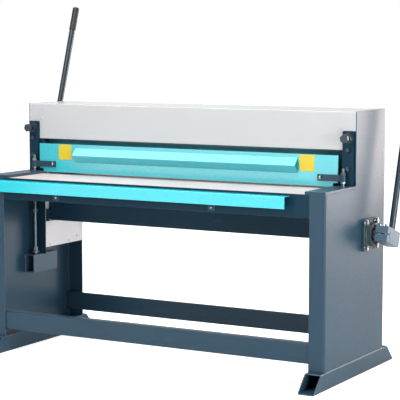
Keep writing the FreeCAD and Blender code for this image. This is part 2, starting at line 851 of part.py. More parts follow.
upperScrewCentres = [(side, knifeLine(side, s.knifeHeight * 0.6)) for side in knifeScrewRow]


def upperBeam():
    """Plate that slides in the columns, with a lug for each pull rod and spring pin."""
    body = newBody("upper_knife_beam")
    half = s.webInner - s.upperBeamEndGap
    pad(body, "XZ", (s.upperBeamFront, s.upperBeamBack), [
        (-half, knifeLine(-half, s.beamKnifeOffset)), (half, knifeLine(half, s.beamKnifeOffset)),
        (half, s.upperBeamTop), (-half, s.upperBeamTop),
    ])
    for side in (-1, 1):
        middle = side * s.yokeSide
        left, right = middle - s.lugWidth / 2, middle + s.lugWidth / 2
        low = s.lugBottom if side < 0 else s.lugBottom + s.knifeRake
        pad(body, "XZ", (s.pullRodBack - s.lugWidth / 2, s.upperBeamFront), [
            (left, low), (right, low), (right, low + s.lugHeight), (left, low + s.lugHeight),
        ])
        spring = side * (s.halfWidth - s.returnSpringInset)
        pad(body, "XZ", (s.upperBeamBack, s.returnSpringBack + s.springPin),
            circles=[(spring, s.springPinBottom)], diameter=s.springPin)
    pocket(body, "XY", circles=[(side * s.yokeSide, s.pullRodBack) for side in (-1, 1)],
           diameter=s.pullRod + 2 * s.screwPlay)
    pocket(body, "XZ", circles=upperScrewCentres, diameter=s.knifeScrew + 2 * s.screwPlay)
    keep("upper_knife_beam", body)


def pullRods():
    """Yokes with a level slot round each crank's roller, and the rods above them."""
    rods = []
    yokes = []
    slotHalf = s.rollerDiameter / 2 + s.rollerPlay
    slotFront = s.shaftBack - s.crankRadius
    plateFront = slotFront - slotHalf - s.yokeRim
    plateBack = s.pinBack + slotHalf + s.yokeRim
    top = s.pinHeight + slotHalf + s.yokeRim + s.yokeNeck
    for side, name in ((1, "Right"), (-1, "Left")):
        middle = side * s.yokeSide
        span = (middle - s.yokeWall / 2, middle + s.yokeWall / 2)
        plate = block("yokePlate" + name, span, (plateFront, plateBack),
                      (s.pinHeight - slotHalf - s.yokeRim, top))
        slot = [
            block("yokeSlot" + name, span, (slotFront, s.pinBack),
                  (s.pinHeight - slotHalf, s.pinHeight + slotHalf)),
            cylinder("yokeSlotFront" + name, "X", (slotFront, s.pinHeight), span, 2 * slotHalf),
            cylinder("yokeSlotBack" + name, "X", (s.pinBack, s.pinHeight), span, 2 * slotHalf),
            cylinder("yokeThread" + name, "Z", (middle, s.pullRodBack), (top - s.yokeNeck, top + 1),
                     s.pullRod + 2 * s.screwPlay),
        ]
        yokes.append(cut("yoke" + name, plate, slot))
        low = s.lugBottom if side < 0 else s.lugBottom + s.knifeRake
        centre = (middle, s.pullRodBack)
        flats, nut = s.pullRod * 1.5, s.pullRod * 0.8
        rods.append(join("pullRod" + name, [
            cylinder("pullRodBar" + name, "Z", centre, (top - s.yokeNeck, low + s.lugHeight + nut + 5),
                     s.pullRod),
            hexagon("yokeNut" + name, "Z", centre, (top, top + nut), flats),
            hexagon("lugNut" + name, "Z", centre, (low - nut, low), flats),
            hexagon("topNut" + name, "Z", centre, (low + s.lugHeight, low + s.lugHeight + nut), flats),
        ]))
    keep("yokes", group("yokes", yokes))
    keep("pull_rods", group("pull_rods", rods))


def edgeStrip():
    """Folded strip in front of the table, on two brackets screwed to the front beam."""
    top = s.tableHeight - s.stripDrop
    body = newBody("edge_strip")
    pad(body, "YZ", (-s.halfWidth, s.stripRight), [
        (0, top), (-s.stripReach, top), (-s.stripReach, top - s.stripHeight),
        (s.stripWall - s.stripReach, top - s.stripHeight), (s.stripWall - s.stripReach, top - s.stripWall),
        (0, top - s.stripWall),
    ])
    roundEdges(body, s.stripWall * 1.6, "X", lambda p: near(p.y, -s.stripReach) and near(p.z, top))
    roundEdges(body, s.stripWall * 0.6, "X", lambda p: near(p.y, s.stripWall - s.stripReach) and near(
        p.z, top - s.stripWall))
    keep("edge_strip", body)
    brackets = []
    screws = []
    under = top - s.stripWall
    for number, (middle, height) in enumerate(stripScrewCentres):
        bracket = newBody(f"stripBracket{number}")
        pad(bracket, "YZ", (middle - 15, middle + 15), [
            (0, under), (6 - s.stripReach, under), (6 - s.stripReach, under - 3), (-3, under - 3),
            (-3, height - 14), (0, height - 14),
        ])
        pocket(bracket, "XZ", circles=[(middle, height)], diameter=s.stripScrew + 2 * s.screwPlay)
        brackets.append(bracket)
        screws.append(join(f"stripScrew{number}", [
            cylinder(f"stripScrewHead{number}", "Y", (middle, height), (-7, -3), s.stripScrew * 2.2),
            cylinder(f"stripScrewShank{number}", "Y", (middle, height), (-3, s.frontBeamWall), s.stripScrew),
        ]))
    keep("strip_brackets", group("strip_brackets", brackets))
    keep("edge_strip_screws", group("edge_strip_screws", screws))


def cover():
    """Folded sheet over the top beam, notched at its front corners for the guide plates."""
    body = newBody("top_cover")
    front = s.columnPlateFront - s.coverSheet
    thin = s.coverSheet
    top = s.columnHeight
    pad(body, "YZ", (-s.coverHalf, s.coverHalf), [
        (front, s.coverBottom), (front, top), (s.rearInner, top), (s.rearInner, s.coverBack),
        (s.rearInner - thin, s.coverBack), (s.rearInner - thin, top - thin),
        (front + thin, top - thin), (front + thin, s.coverBottom),
    ])
    roundEdges(body, thin * 2.5, "X", lambda p: near(p.z, top))
    roundEdges(body, thin * 1.5, "X", lambda p: near(p.z, top - thin) and (
        near(p.y, front + thin) or near(p.y, s.rearInner - thin)))
    for side in (-1, 1):
        inner = side * s.coverNotchInner
        outer = side * (s.coverHalf + 1)
        pocket(body, "XZ", (front - 1, front + thin + 1), [
            (inner, s.coverBottom - 1), (outer, s.coverBottom - 1),
            (outer, s.coverNotchTop), (inner, s.coverNotchTop),
        ])
    fronts = [(side * (s.lipInner + s.coverScrewInset), height) for side in (-1, 1) for height in coverScrewHeights]
    pocket(body, "XZ", (front - 1, front + thin + 1), circles=fronts,
           diameter=s.panelScrew + 2 * s.screwPlay)
    backs = [(side * s.boltSide, height) for side in (-1, 1) for height in rearScrewHeights]
    pocket(body, "XZ", (s.rearInner - thin - 1, s.rearInner + 1), circles=backs,
           diameter=s.panelScrew + 2 * s.screwPlay)
    keep("top_cover", body)


def innerPanels():
    """Light sheet panels that close the columns towards the middle."""
    body = newBody("innerPanel")
    pad(body, "YZ", (s.panelInner, s.lipInner), [
        (s.columnPlateFront + 1, s.panelBottom), (s.frameDepth, s.panelBottom),
        (s.frameDepth, s.panelTop), (s.columnPlateFront + 1, s.panelTop),
    ])
    pocket(body, "YZ", circles=[(s.shaftBack, s.shaftHeight)], diameter=s.shaftDiameter + 8)
    pocket(body, "YZ", circles=beamBoltCentres, diameter=s.flangeBolt + 2 * s.screwPlay)
    pocket(body, "YZ", circles=panelScrewCentres, diameter=s.panelScrew + 2 * s.screwPlay)
    keep("inner_panels", pair("inner_panels", [body]))


def panScrew(label, axis, centre, seat, towards, length):
    """Low round head on a sheet, with its shank going the other way."""
    head = s.panelScrew * 0.5
    if towards > 0:
        return join(label, [
            cylinder(label + "Head", axis, centre, (seat - head, seat), s.panelScrew * 2),
            cylinder(label + "Shank", axis, centre, (seat, seat + length), s.panelScrew),
        ])
    return join(label, [
        cylinder(label + "Head", axis, centre, (seat, seat + head), s.panelScrew * 2),
        cylinder(label + "Shank", axis, centre, (seat - length, seat), s.panelScrew),
    ])


def sheetScrews():
    """Small screws of the cover and the inner panels."""
    items = []
    front = s.columnPlateFront - s.coverSheet
    length = s.coverSheet + s.frameSheet
    for number, height in enumerate(coverScrewHeights):
        centre = (s.lipInner + s.coverScrewInset, height)
        items.append(panScrew(f"coverScrew{number}", "Y", centre, front, 1, length))
    for number, height in enumerate(rearScrewHeights):
        centre = (s.boltSide, height)
        items.append(panScrew(f"coverBackScrew{number}", "Y", centre, s.frameDepth, -1, length))
    for number, centre in enumerate(panelScrewCentres):
        items.append(panScrew(f"panelScrew{number}", "X", centre, s.panelInner, 1, length))
    keep("sheet_screws", pair("sheet_screws", items))


def bearings():
    """Square flange bearings on the outer faces, each with its fixed ring and bolts."""
    body = newBody("right_bearing_housing")
    half = s.flangeSize / 2
    pad(body, "YZ", (s.halfWidth, s.flangeFace), [
        (s.shaftBack - half, s.shaftHeight - half), (s.shaftBack + half, s.shaftHeight - half),
        (s.shaftBack + half, s.shaftHeight + half), (s.shaftBack - half, s.shaftHeight + half),
    ])
    roundEdges(body, s.flangeWall, "X", lambda p: near(abs(p.y - s.shaftBack.value), half) and near(
        abs(p.z - s.shaftHeight.value), half))
    pad(body, "YZ", (s.flangeFace, s.halfWidth + s.bossReach), circles=[(s.shaftBack, s.shaftHeight)],
        diameter=s.bossDiameter)
    pocket(body, "YZ", circles=[(s.shaftBack, s.shaftHeight)], diameter=s.insertDiameter)
    pocket(body, "YZ", circles=flangeCentres, diameter=s.flangeBolt + 2 * s.screwPlay)
    keep("right_bearing_housing", body)
    keep("left_bearing_housing", mirrored("left_bearing_housing", body))
    centre = (s.shaftBack, s.shaftHeight)
    fixed = ringPiece("bearingOuterRing", "X", centre, (s.halfWidth, s.halfWidth + s.bossReach - 4),
                      s.insertDiameter - 2 * s.runningPlay, s.ringDiameter)
    keep("bearing_outer_rings", pair("bearing_outer_rings", [fixed]))
    turning = ringPiece("bearingInnerRing", "X", centre, (s.halfWidth + 2, s.ringEnd),
                        s.ringDiameter - 2 * s.runningPlay, s.shaftDiameter + 2 * s.runningPlay)
    keep("bearing_inner_rings", pair("bearing_inner_rings", [turning]))
    bolts = []
    washer = s.flangeFace + 2.5
    for number, centre in enumerate(flangeCentres):
        bolts.append(join(f"flangeBolt{number}", [
            hexagon(f"flangeBoltHead{number}", "X", centre, (washer, washer + 7.5), s.flangeBolt * 1.5),
            cylinder(f"flangeWasher{number}", "X", centre, (s.flangeFace, washer), s.flangeBolt * 2),
            cylinder(f"flangeShank{number}", "X", centre, (s.webInner - 12, s.flangeFace), s.flangeBolt),
            hexagon(f"flangeNut{number}", "X", centre, (s.webInner - 10, s.webInner), s.flangeBolt * 1.5),
        ]))
    keep("bearing_bolts", pair("bearing_bolts", bolts))


def frameBolts():
    """Bolts of the lower beam's ends, and the screws up into the table."""
    inner = s.panelInner - s.beamEndWall
    ends = [
        boltHead(f"beamBolt{number}", "X", centre, (inner - 7.5, inner, s.lipInner + 40),
                 s.flangeBolt * 1.5, s.flangeBolt)
        for number, centre in enumerate(beamBoltCentres)
    ]
    items = ends + [mirrored(item.Name + "Left", item) for item in ends]
    under = s.tableBottom - s.ledgeWall
    items += [
        boltHead(f"tableScrew{number}", "Z", centre, (under - 5.5, under, s.tableHeight - 5),
                 s.tableScrew * 1.6, s.tableScrew)
        for number, centre in enumerate(tableScrewCentres)
    ]
    keep("frame_bolts", group("frame_bolts", items))


def guides():
    """Plates in the cover's notches, guide bars inside, and the bolts between them."""
    front = s.columnPlateFront - s.guidePlateWall
    plate = newBody("guidePlate")
    inner = s.coverNotchInner + 2
    pad(plate, "XZ", (front, s.columnPlateFront), [
        (inner, s.tableHeight + s.tableWall), (inner + s.guidePlateWidth, s.tableHeight + s.tableWall),
        (inner + s.guidePlateWidth, s.guidePlateTop), (inner, s.guidePlateTop),
    ])
    pocket(plate, "XZ", circles=[(s.boltSide, s.guideBoltHeight)], diameter=s.guideBolt + 2 * s.screwPlay)
    pocket(plate, "XZ", circles=guideScrewCentres, diameter=s.knifeScrew + 2 * s.screwPlay)
    keep("guide_plates", pair("guide_plates", [plate]))
    bar = newBody("frontGuide")
    pad(bar, "XZ", (s.columnPlateBack, s.upperBeamFront - s.guideRunning), [
        (s.webInner - s.guideHeadWidth, s.guideHeadBottom), (s.webInner - s.guideWidth, s.guideHeadBottom),
        (s.webInner - s.guideWidth, s.guideBottom), (s.webInner, s.guideBottom),
        (s.webInner, s.guideTop), (s.webInner - s.guideHeadWidth, s.guideTop),
    ])
    pocket(bar, "XZ", (s.columnPlateBack - 1, s.columnPlateBack + 40),
           circles=[(s.boltSide, s.guideBoltHeight)], diameter=s.guideBolt + 2 * s.screwPlay)
    pocket(bar, "XZ", (s.columnPlateBack - 1, s.columnPlateBack + 30),
           circles=guideScrewCentres[:1], diameter=s.knifeScrew + 2 * s.screwPlay)
    rear = block("rearGuide", (s.webInner - 22, s.webInner),
                 (s.upperBeamBack + s.guideRunning, s.upperBeamBack + s.guideRunning + s.rearGuideWall),
                 (s.guideBottom, s.guideTop))
    keep("guide_bars", pair("guide_bars", [bar, rear]))
    centre = (s.boltSide, s.guideBoltHeight)
    face = front - s.guideBoltReach
    nutFront = front - 3 - s.guideBolt * 0.8
    bolt = join("guideBolt", [
        hexagon("guideBoltHead", "Y", centre, (face, face + s.guideBolt * 0.63), s.guideBolt * 1.5),
        cylinder("guideBoltShank", "Y", centre, (face, s.columnPlateBack + 36), s.guideBolt),
        hexagon("guideBoltNut", "Y", centre, (nutFront, front - 3), s.guideBolt * 1.5),
        cylinder("guideBoltWasher", "Y", centre, (front - 3, front), s.guideBolt * 2.2),
    ])
    screws = []
    for number, centre in enumerate(guideScrewCentres):
        end = s.columnPlateBack + (26 if number == 0 else 0)
        screws.append(join(f"guideScrew{number}", [
            cylinder(f"guideScrewHead{number}", "Y", centre, (front - s.knifeScrew, front),
                     s.knifeScrew * 1.6),
            cylinder(f"guideScrewShank{number}", "Y", centre, (front, end), s.knifeScrew),
        ]))
    keep("guide_bolts", pair("guide_bolts", [bolt] + screws))


def rodBrackets():
    """Short open tubes on the webs, bored for the rods' lower ends."""
    inner = s.webInner - s.bracketWidth
    low = s.bracketTop - s.bracketHeight
    wall = s.bracketWall
    outside = block("bracketOutside", (inner, s.webInner), (s.bracketFront, s.bracketBack), (low, s.bracketTop))
    inside = block("bracketInside", (inner + wall, s.webInner - wall), (s.bracketFront, s.bracketBack),
                   (low + wall, s.bracketTop - wall))
    hole = cylinder("bracketHole", "Z", (s.rodSide, s.rodBack), (s.bracketTop - 2 * wall, s.bracketTop + 1),
                    s.rodDiameter + 2 * s.rodPlay)
    keep("rod_brackets", pair("rod_brackets", [cut("bracket", outside, [inside, hole])]))


def shaft():
    """Cross shaft, its cranks and their pins with rollers."""
    centre = (s.shaftBack, s.shaftHeight)
    keep("cross_shaft", join("cross_shaft", [
        cylinder("shaftBar", "X", centre, (-s.ringEnd, s.ringEnd), s.shaftDiameter),
        cylinder("shaftEnds", "X", centre, (-(s.clampOuter + 1), s.clampOuter + 1), s.shaftEndDiameter),
    ]))
    inner = s.yokeSide + s.yokeWall / 2 + 7
    hub = cylinder("crankHub", "X", (0, 0), (inner, s.webInner - 4), s.crankHub)
    boss = cylinder("crankBoss", "X", (-s.crankRadius, 0), (inner, inner + s.crankWall), s.crankBoss)
    arm = block("crankArm", (inner, inner + s.crankWall), (-s.crankRadius, 0),
                (-(s.crankBoss / 2), s.crankBoss / 2))
    holes = [
        cylinder("crankBore", "X", (0, 0), (inner - 1, s.webInner), s.shaftDiameter + 2 * s.runningPlay),
        cylinder("crankPinBore", "X", (-s.crankRadius, 0), (inner - 1, s.webInner),
                 s.crankPin + 2 * s.screwPlay),
    ]
    crank = cut("crank", join("crankWhole", [hub, boss, arm]), holes)
    hinged(crank, s.shaftBack, s.shaftHeight, s.crankRise)
    keep("cranks", pair("cranks", [crank]))
    place = (s.pinBack, s.pinHeight)
    yokeIn, yokeOut = s.yokeSide - s.yokeWall / 2, s.yokeSide + s.yokeWall / 2
    pinBar = join("crankPin", [
        cylinder("crankPinBar", "X", place, (yokeIn - 2, inner + s.crankWall), s.crankPin),
        cylinder("crankPinHead", "X", place, (yokeIn - 5, yokeIn - 2), s.rollerDiameter - 2),
        cylinder("crankPinCollar", "X", place, (yokeOut + 1, inner), s.crankPin + 6),
    ])
    roller = ringPiece("crankRoller", "X", place, (yokeIn - 1, yokeOut), s.rollerDiameter,
                       s.crankPin + 2 * s.screwPlay)
    keep("crank_pins", pair("crank_pins", [pinBar, roller]))


def levers():
    """Split clamp blocks on the shaft's ends, with the tube levers and their grips."""
    inner, outer = s.clampInner, s.clampOuter
    top = s.clampHeight / 2
    middle = (inner + outer) / 2
    foot = -s.leverFoot
    body = newBody("right_clamp_block")
    pad(body, "YZ", (inner, outer), [
        (-s.clampNose, -top), (s.clampLength - s.clampNose, -top),
        (s.clampLength - s.clampNose, top), (-s.clampNose, top),
    ])
    pocket(body, "YZ", circles=[(0, 0)], diameter=s.shaftEndDiameter + 2 * s.runningPlay)
    pocket(body, "YZ", points=[
        (-s.clampNose - 1, -(s.clampSlit / 2)), (0, -(s.clampSlit / 2)),
        (0, s.clampSlit / 2), (-s.clampNose - 1, s.clampSlit / 2),
    ])
    pocket(body, "XY", (foot, top + 1), circles=[(middle, s.leverOffset)],
           diameter=s.leverDiameter + 2 * s.screwPlay)
    places = [(middle + side * s.clampWidth / 4, s.clampScrewInset - s.clampNose) for side in (-1, 1)]
    pocket(body, "XY", circles=places, diameter=s.clampScrew + 2 * s.screwPlay)
    roundEdges(body, s.clampSlit / 2, "X", lambda p: near(abs(p.z), top) and (
        near(p.y, -s.clampNose) or near(p.y, s.clampLength - s.clampNose)))
    screws = [
        join(f"clampScrew{number}", [
            cylinder(f"clampScrewHead{number}", "Z", place, (top, top + s.clampScrew), s.clampScrew * 1.6),
            cylinder(f"clampScrewShank{number}", "Z", place, (2 - top, top), s.clampScrew),
        ]) for number, place in enumerate(places)
    ]
    centre = (middle, s.leverOffset)
    end = s.leverLength
    tube = ringPiece("leverTube", "Z", centre, (foot, end - 2), s.leverDiameter,
                     s.leverDiameter - 2 * s.leverWall)
    wide = s.leverDiameter + 2 * s.gripWall
    gripOutside = doc.addObject("Part::Fillet", "gripOutside")
    gripOutside.Base = cylinder("gripBar", "Z", centre, (end - s.gripLength, end + s.gripEnd), wide)
    doc.recompute()
    tip = [
        index for index, edge in enumerate(gripOutside.Base.Shape.Edges, 1)
        if len(edge.Vertexes) == 1 and near(edge.Vertexes[0].Z, end + s.gripEnd)
    ]
    gripOutside.Edges = [(index, 6.0, 6.0) for index in tip]
    grip = cut("grip", gripOutside, [
        cylinder("gripHole", "Z", centre, (end - s.gripLength - 1, end), s.leverDiameter + s.screwPlay)
    ])
    screwPair = group("clampScrewsRight", screws)
    for item in (body, screwPair, tube, grip):
        hinged(item, s.shaftBack, s.shaftHeight, s.leverLean)
    keep("right_clamp_block", body)
    keep("left_clamp_block", mirrored("left_clamp_block", body))
    keep("right_lever", tube)
    keep("left_lever", mirrored("left_lever", tube))
    keep("clamp_screws", pair("clamp_screws", [screwPair]))
    keep("grips", pair("grips", [grip]))


def holdDown():
    """Guard plate with its ridge, the clamping bar and pad behind it, and two arms."""
    notchTop = s.guardBottom + s.guardNotch
    plate = newBody("guard_plate")
    half, low = s.guardHalf, s.guardBottom
    pad(plate, "XZ", (s.guardFront, s.guardBack), [
        (-s.knifeHalf, low), (s.knifeHalf, low), (s.knifeHalf, notchTop), (half, notchTop),
        (half, s.guardTop), (-half, s.guardTop), (-half, notchTop), (-s.knifeHalf, notchTop),
    ])
    screwSide = s.armInner + s.armScrewInset
    screwHeight = s.armBottom + s.armHeight / 2
    places = [(side * screwSide, screwHeight) for side in (-1, 1)]
    pocket(plate, "XZ", circles=places, diameter=s.armScrew + 2 * s.screwPlay)
    keep("guard_plate", plate)
    ridge = newBody("guard_ridge")
    front, middle = s.guardFront, s.ridgeBottom + s.ridgeHeight / 2
    wall = s.ridgeWall * math.sqrt(2)
    pad(ridge, "YZ", (-s.ridgeLeft, s.ridgeRight), [
        (front, s.ridgeBottom), (front - s.ridgeReach, middle), (front, s.ridgeBottom + s.ridgeHeight),
        (front, s.ridgeBottom + s.ridgeHeight - wall), (front - s.ridgeReach + wall, middle),
        (front, s.ridgeBottom + wall),
    ])
    keep("guard_ridge", ridge)
    wall = s.barTubeWall
    back, top = s.guardBack + s.barTubeDepth, s.padTop + s.barTubeHeight
    outside = block("barOutside", (-s.knifeHalf, s.knifeHalf), (s.guardBack, back), (s.padTop, top))
    inside = block("barInside", (-s.knifeHalf, s.knifeHalf), (s.guardBack + wall, back - wall),
                   (s.padTop + wall, top - wall))
    drills = [
        cylinder(f"barHole{number}", "Y", place, (s.guardBack - 1, s.guardBack + wall + 1),
                 s.armScrew + 2 * s.screwPlay)
        for number, place in enumerate(places)
    ]
    keep("hold_down_bar", cut("hold_down_bar", outside, [inside] + drills))
    keep("hold_down_pad", block("hold_down_pad", (-s.knifeHalf, s.knifeHalf),
                                (s.guardBack + 5, back - 5), (s.guardBottom, s.padTop)))
    armFront = s.guardFront - s.armWall
    armTop = s.armBottom + s.armHeight
    centre = (s.rodSide, s.rodBack)
    bar = block("armBar", (s.armInner, s.rodSide), (armFront, s.guardFront), (s.armBottom, armTop))
    sleeve = cylinder("armSleeve", "Z", centre, (s.armBottom, armTop), s.sleeveDiameter)
    hole = cylinder("armHole", "Z", centre, (s.armBottom - 1, armTop + 1), s.rodDiameter + 2 * s.screwPlay)
    span = (armFront - 1, s.guardFront + 1)
    slot = [
        cylinder("armSlotInner", "Y", (screwSide, screwHeight), span, s.armScrew + 2 * s.screwPlay),
        cylinder("armSlotOuter", "Y", (screwSide + s.armSlot, screwHeight), span, s.armScrew + 2 * s.screwPlay),
        block("armSlotMiddle", (screwSide, screwSide + s.armSlot), span,
              (screwHeight - s.armScrew / 2 - s.screwPlay, screwHeight + s.armScrew / 2 + s.screwPlay)),
    ]
    keep("hold_down_arms", pair("hold_down_arms", [cut("arm", join("armWhole", [bar, sleeve]), [hole] + slot)]))
    screw = join("armScrew", [
        cylinder("armScrewHead", "Y", (screwSide, screwHeight), (armFront - 5, armFront), s.armScrew * 1.75),
        cylinder("armScrewShank", "Y", (screwSide, screwHeight), (armFront, s.guardBack + wall + 2),
                 s.armScrew),
    ])
    keep("arm_screws", pair("arm_screws", [screw]))
    markerHalf = s.markerSize / 2
    marker = block("markerPlate", (s.markerMiddle - markerHalf, s.markerMiddle + markerHalf),
                   (s.guardFront - 1, s.guardFront), (s.markerHeight - markerHalf, s.markerHeight + markerHalf))
    keep("marker_plates", pair("marker_plates", [marker]))


def rods():
    """Upright rods of the hold-down, with their nuts, spring seats and stops."""
    centre = (s.rodSide, s.rodBack)
    flats = s.rodDiameter * 1.5
    armTop = s.armBottom + s.armHeight
    stop = s.bracketTop + s.holdDownStroke + 1.5
    keep("hold_down_rods", pair("hold_down_rods", [
        cylinder("rod", "Z", centre, (s.rodBottom, s.rodTop), s.rodDiameter)
    ]))
    inside = cylinder("rodNutBore", "Z", centre, (s.rodBottom, s.rodTop), s.rodDiameter + 2 * s.screwPlay)
    nuts = {
        "rodTopNut": [hexagon("rodTopNutHex", "Z", centre, (armTop, armTop + 10), flats)],
        "rodThinNut": [hexagon("rodThinNutHex", "Z", centre, (s.armBottom - 8, s.armBottom), flats)],
        "rodSeat": [
            cylinder("rodSeatWasher", "Z", centre, (s.holdSpringSeat - 3, s.holdSpringSeat), 26),
            hexagon("rodSeatNut", "Z", centre, (s.holdSpringSeat - 13, s.holdSpringSeat - 3), flats),
        ],
        "rodStop": [
            cylinder("rodStopWasher", "Z", centre, (stop, stop + 4), 36),
            hexagon("rodStopNut", "Z", centre, (stop + 4, stop + 24), flats),
        ],
    }
    items = [cut(name, join(name + "Whole", solids), [inside]) for name, solids in nuts.items()]
    keep("rod_nuts", pair("rod_nuts", items))


# Wound springs

def arcBetween(start, end, corner):
    """Arc from start to end whose tangents there meet at the corner."""
    middle = (start + end) * 0.5
    half = (end - start).Length / 2
    rise = (corner - middle).Length
    if rise < 1e-9:
        return Part.LineSegment(start, end).toShape()
    angle = 2 * math.atan2(rise, half)
    sag = half * math.tan(angle / 4)
    return Part.Arc(start, middle + (corner - middle) * (sag / rise), end).toShape()


def biarc(start, startWay, end, endWay):
    """Two arcs from one point and direction to another."""
    chord = end - start
    both = startWay + endWay
    square = 2 * (startWay.dot(endWay) - 1)
    linear = -2 * chord.dot(both)
    constant = chord.dot(chord)
    if abs(square) < 1e-12:
        reach = -constant / linear
    else:
        root = math.sqrt(linear * linear - 4 * square * constant)
        reach = (-linear - root) / (2 * square)
    first = start + startWay * reach
    second = end - endWay * reach
    joint = (first + second) * 0.5
    return [arcBetween(start, joint, first), arcBetween(joint, end, second)]


def coil(label, centre, low, high, diameter, wire, wholeTurns, startAngle, endAngle):
    """Spring wire wound round Z, with an upright tail of one wire at each end."""
    radius = (diameter - wire) / 2
    corner = wire * 1.2
    bottom, top = low + wire + corner, high - wire - corner
    sweep = 2 * math.pi * wholeTurns + math.radians(endAngle - startAngle)
    steps = int(round(sweep / (math.pi / 2)))
    climb = (top - bottom) / sweep

    def spot(angle):
        return Vector(centre[0] + radius * math.cos(angle), centre[1] + radius * math.sin(angle),
                      bottom + climb * (angle - first))

    def way(angle):
        direction = Vector(-radius * math.sin(angle), radius * math.cos(angle), climb)
        return direction.normalize()

    first = math.radians(startAngle)
    last = first + sweep
    upright = Vector(0, 0, 1)
    edges = []
    start, heading = spot(first), way(first)
    flat = Vector(heading.x, heading.y, 0).normalize()
    turn = math.acos(heading.dot(upright))
    bend = start - (upright * math.sin(turn) + flat * (1 - math.cos(turn))) * corner
    foot = Vector(bend.x, bend.y, low)
    edges.append(Part.LineSegment(foot, bend).toShape())
    edges.append(arcBetween(bend, start, bend + upright * (corner * math.tan(turn / 2))))
    for step in range(steps):
        here = first + sweep * step / steps
        there = first + sweep * (step + 1) / steps
        edges += biarc(spot(here), way(here), spot(there), way(there))
    start, heading = spot(last), way(last)
    flat = Vector(heading.x, heading.y, 0).normalize()
    turn = math.acos(heading.dot(upright))
    bend = start + (upright * math.sin(turn) + flat * (1 - math.cos(turn))) * corner
    edges.append(arcBetween(start, bend, start + heading * (corner * math.tan(turn / 2))))
    edges.append(Part.LineSegment(bend, Vector(bend.x, bend.y, high)).toShape())
    path = Part.Wire(edges)
    profile = Part.Wire([Part.Circle(foot, upright, wire / 2).toShape()])
    shape = path.makePipeShell([profile], True, False)
    expected = math.pi * wire * wire / 4 * path.Length
    gap = 2 * math.pi * climb - wire
    print(f"{label}: volume {shape.Volume:.0f} of {expected:.0f}, least gap between turns {gap:.2f}")
    item = doc.addObject("Part::Feature", label)
    item.Shape = shape if shape.ShapeType == "Solid" else Part.Solid(shape.Shells[0])
    item.Placement = FreeCAD.Placement()
    return item


def springs():
    """Compression springs on the hold-down rods, and tension springs that lift the beam."""
    gap = s.seatGap.value
    holding = coil("right_hold_down_spring", (s.rodSide.value, s.rodBack.value),
                   s.holdSpringSeat.value + gap, s.tableHeight.value - gap,
                   s.holdSpringDiameter.value, s.holdSpringWire.value, holdSpringTurns, 0, 0)
    keep("right_hold_down_spring", holding)
    keep("left_hold_down_spring", mirrored("left_hold_down_spring", holding))
    side = s.halfWidth - s.returnSpringInset
    pinHalf = s.springPin.value / 2
    lifting = coil("right_return_spring", (side.value, s.returnSpringBack.value),
                   s.springPinBottom.value + pinHalf + gap, s.springPinTop.value - pinHalf - gap,
                   s.returnSpringDiameter.value, s.returnSpringWire.value, returnSpringTurns, -71, -19)
    keep("right_return_spring", lifting)
    keep("left_return_spring", mirrored("left_return_spring", lifting))
    top = cylinder("springPin", "X", (s.returnSpringBack, s.springPinTop),
                   (side - s.returnSpringDiameter / 2, s.webInner), s.springPin)
    keep("spring_pins", pair("spring_pins", [top]))


def checkObjects():
    for item in doc.Objects:
        if "Invalid" in item.State or "Error" in item.State:
            raise RuntimeError(f"{item.Name} is {item.State}")
    for label, item in kept.items():
        if item.Shape.isNull() or not item.Shape.isValid() or not item.Shape.Solids:
            raise RuntimeError(f"{label} has no valid shape")


def writeParts():
    """Write each node with the origin on the floor, under the middle of the whole object."""
    os.makedirs("parts", exist_ok=True)
    box = FreeCAD.BoundBox()
    for item in kept.values():
        box.add(item.Shape.BoundBox)
    shift = Vector(0, -round((box.YMin + box.YMax) / 2), 0)
    for label, item in kept.items():
        shape = item.Shape.copy()
        shape.translate(shift)
        shape.exportStep(f"parts/{label}.step")
    print(f"{len(kept)} nodes, box {box}, moved along Y by {shift.y}")


for build in (sideFrame, feet, crossbars, topPlates, columnPlates, table, lowerBeam, knives, upperBeam,
              pullRods, edgeStrip, cover, innerPanels, sheetScrews, bearings, frameBolts, guides,
              rodBrackets, shaft, levers, holdDown, rods, springs):
    build()
doc.recompute()
checkObjects()
writeParts()
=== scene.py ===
import json
import math

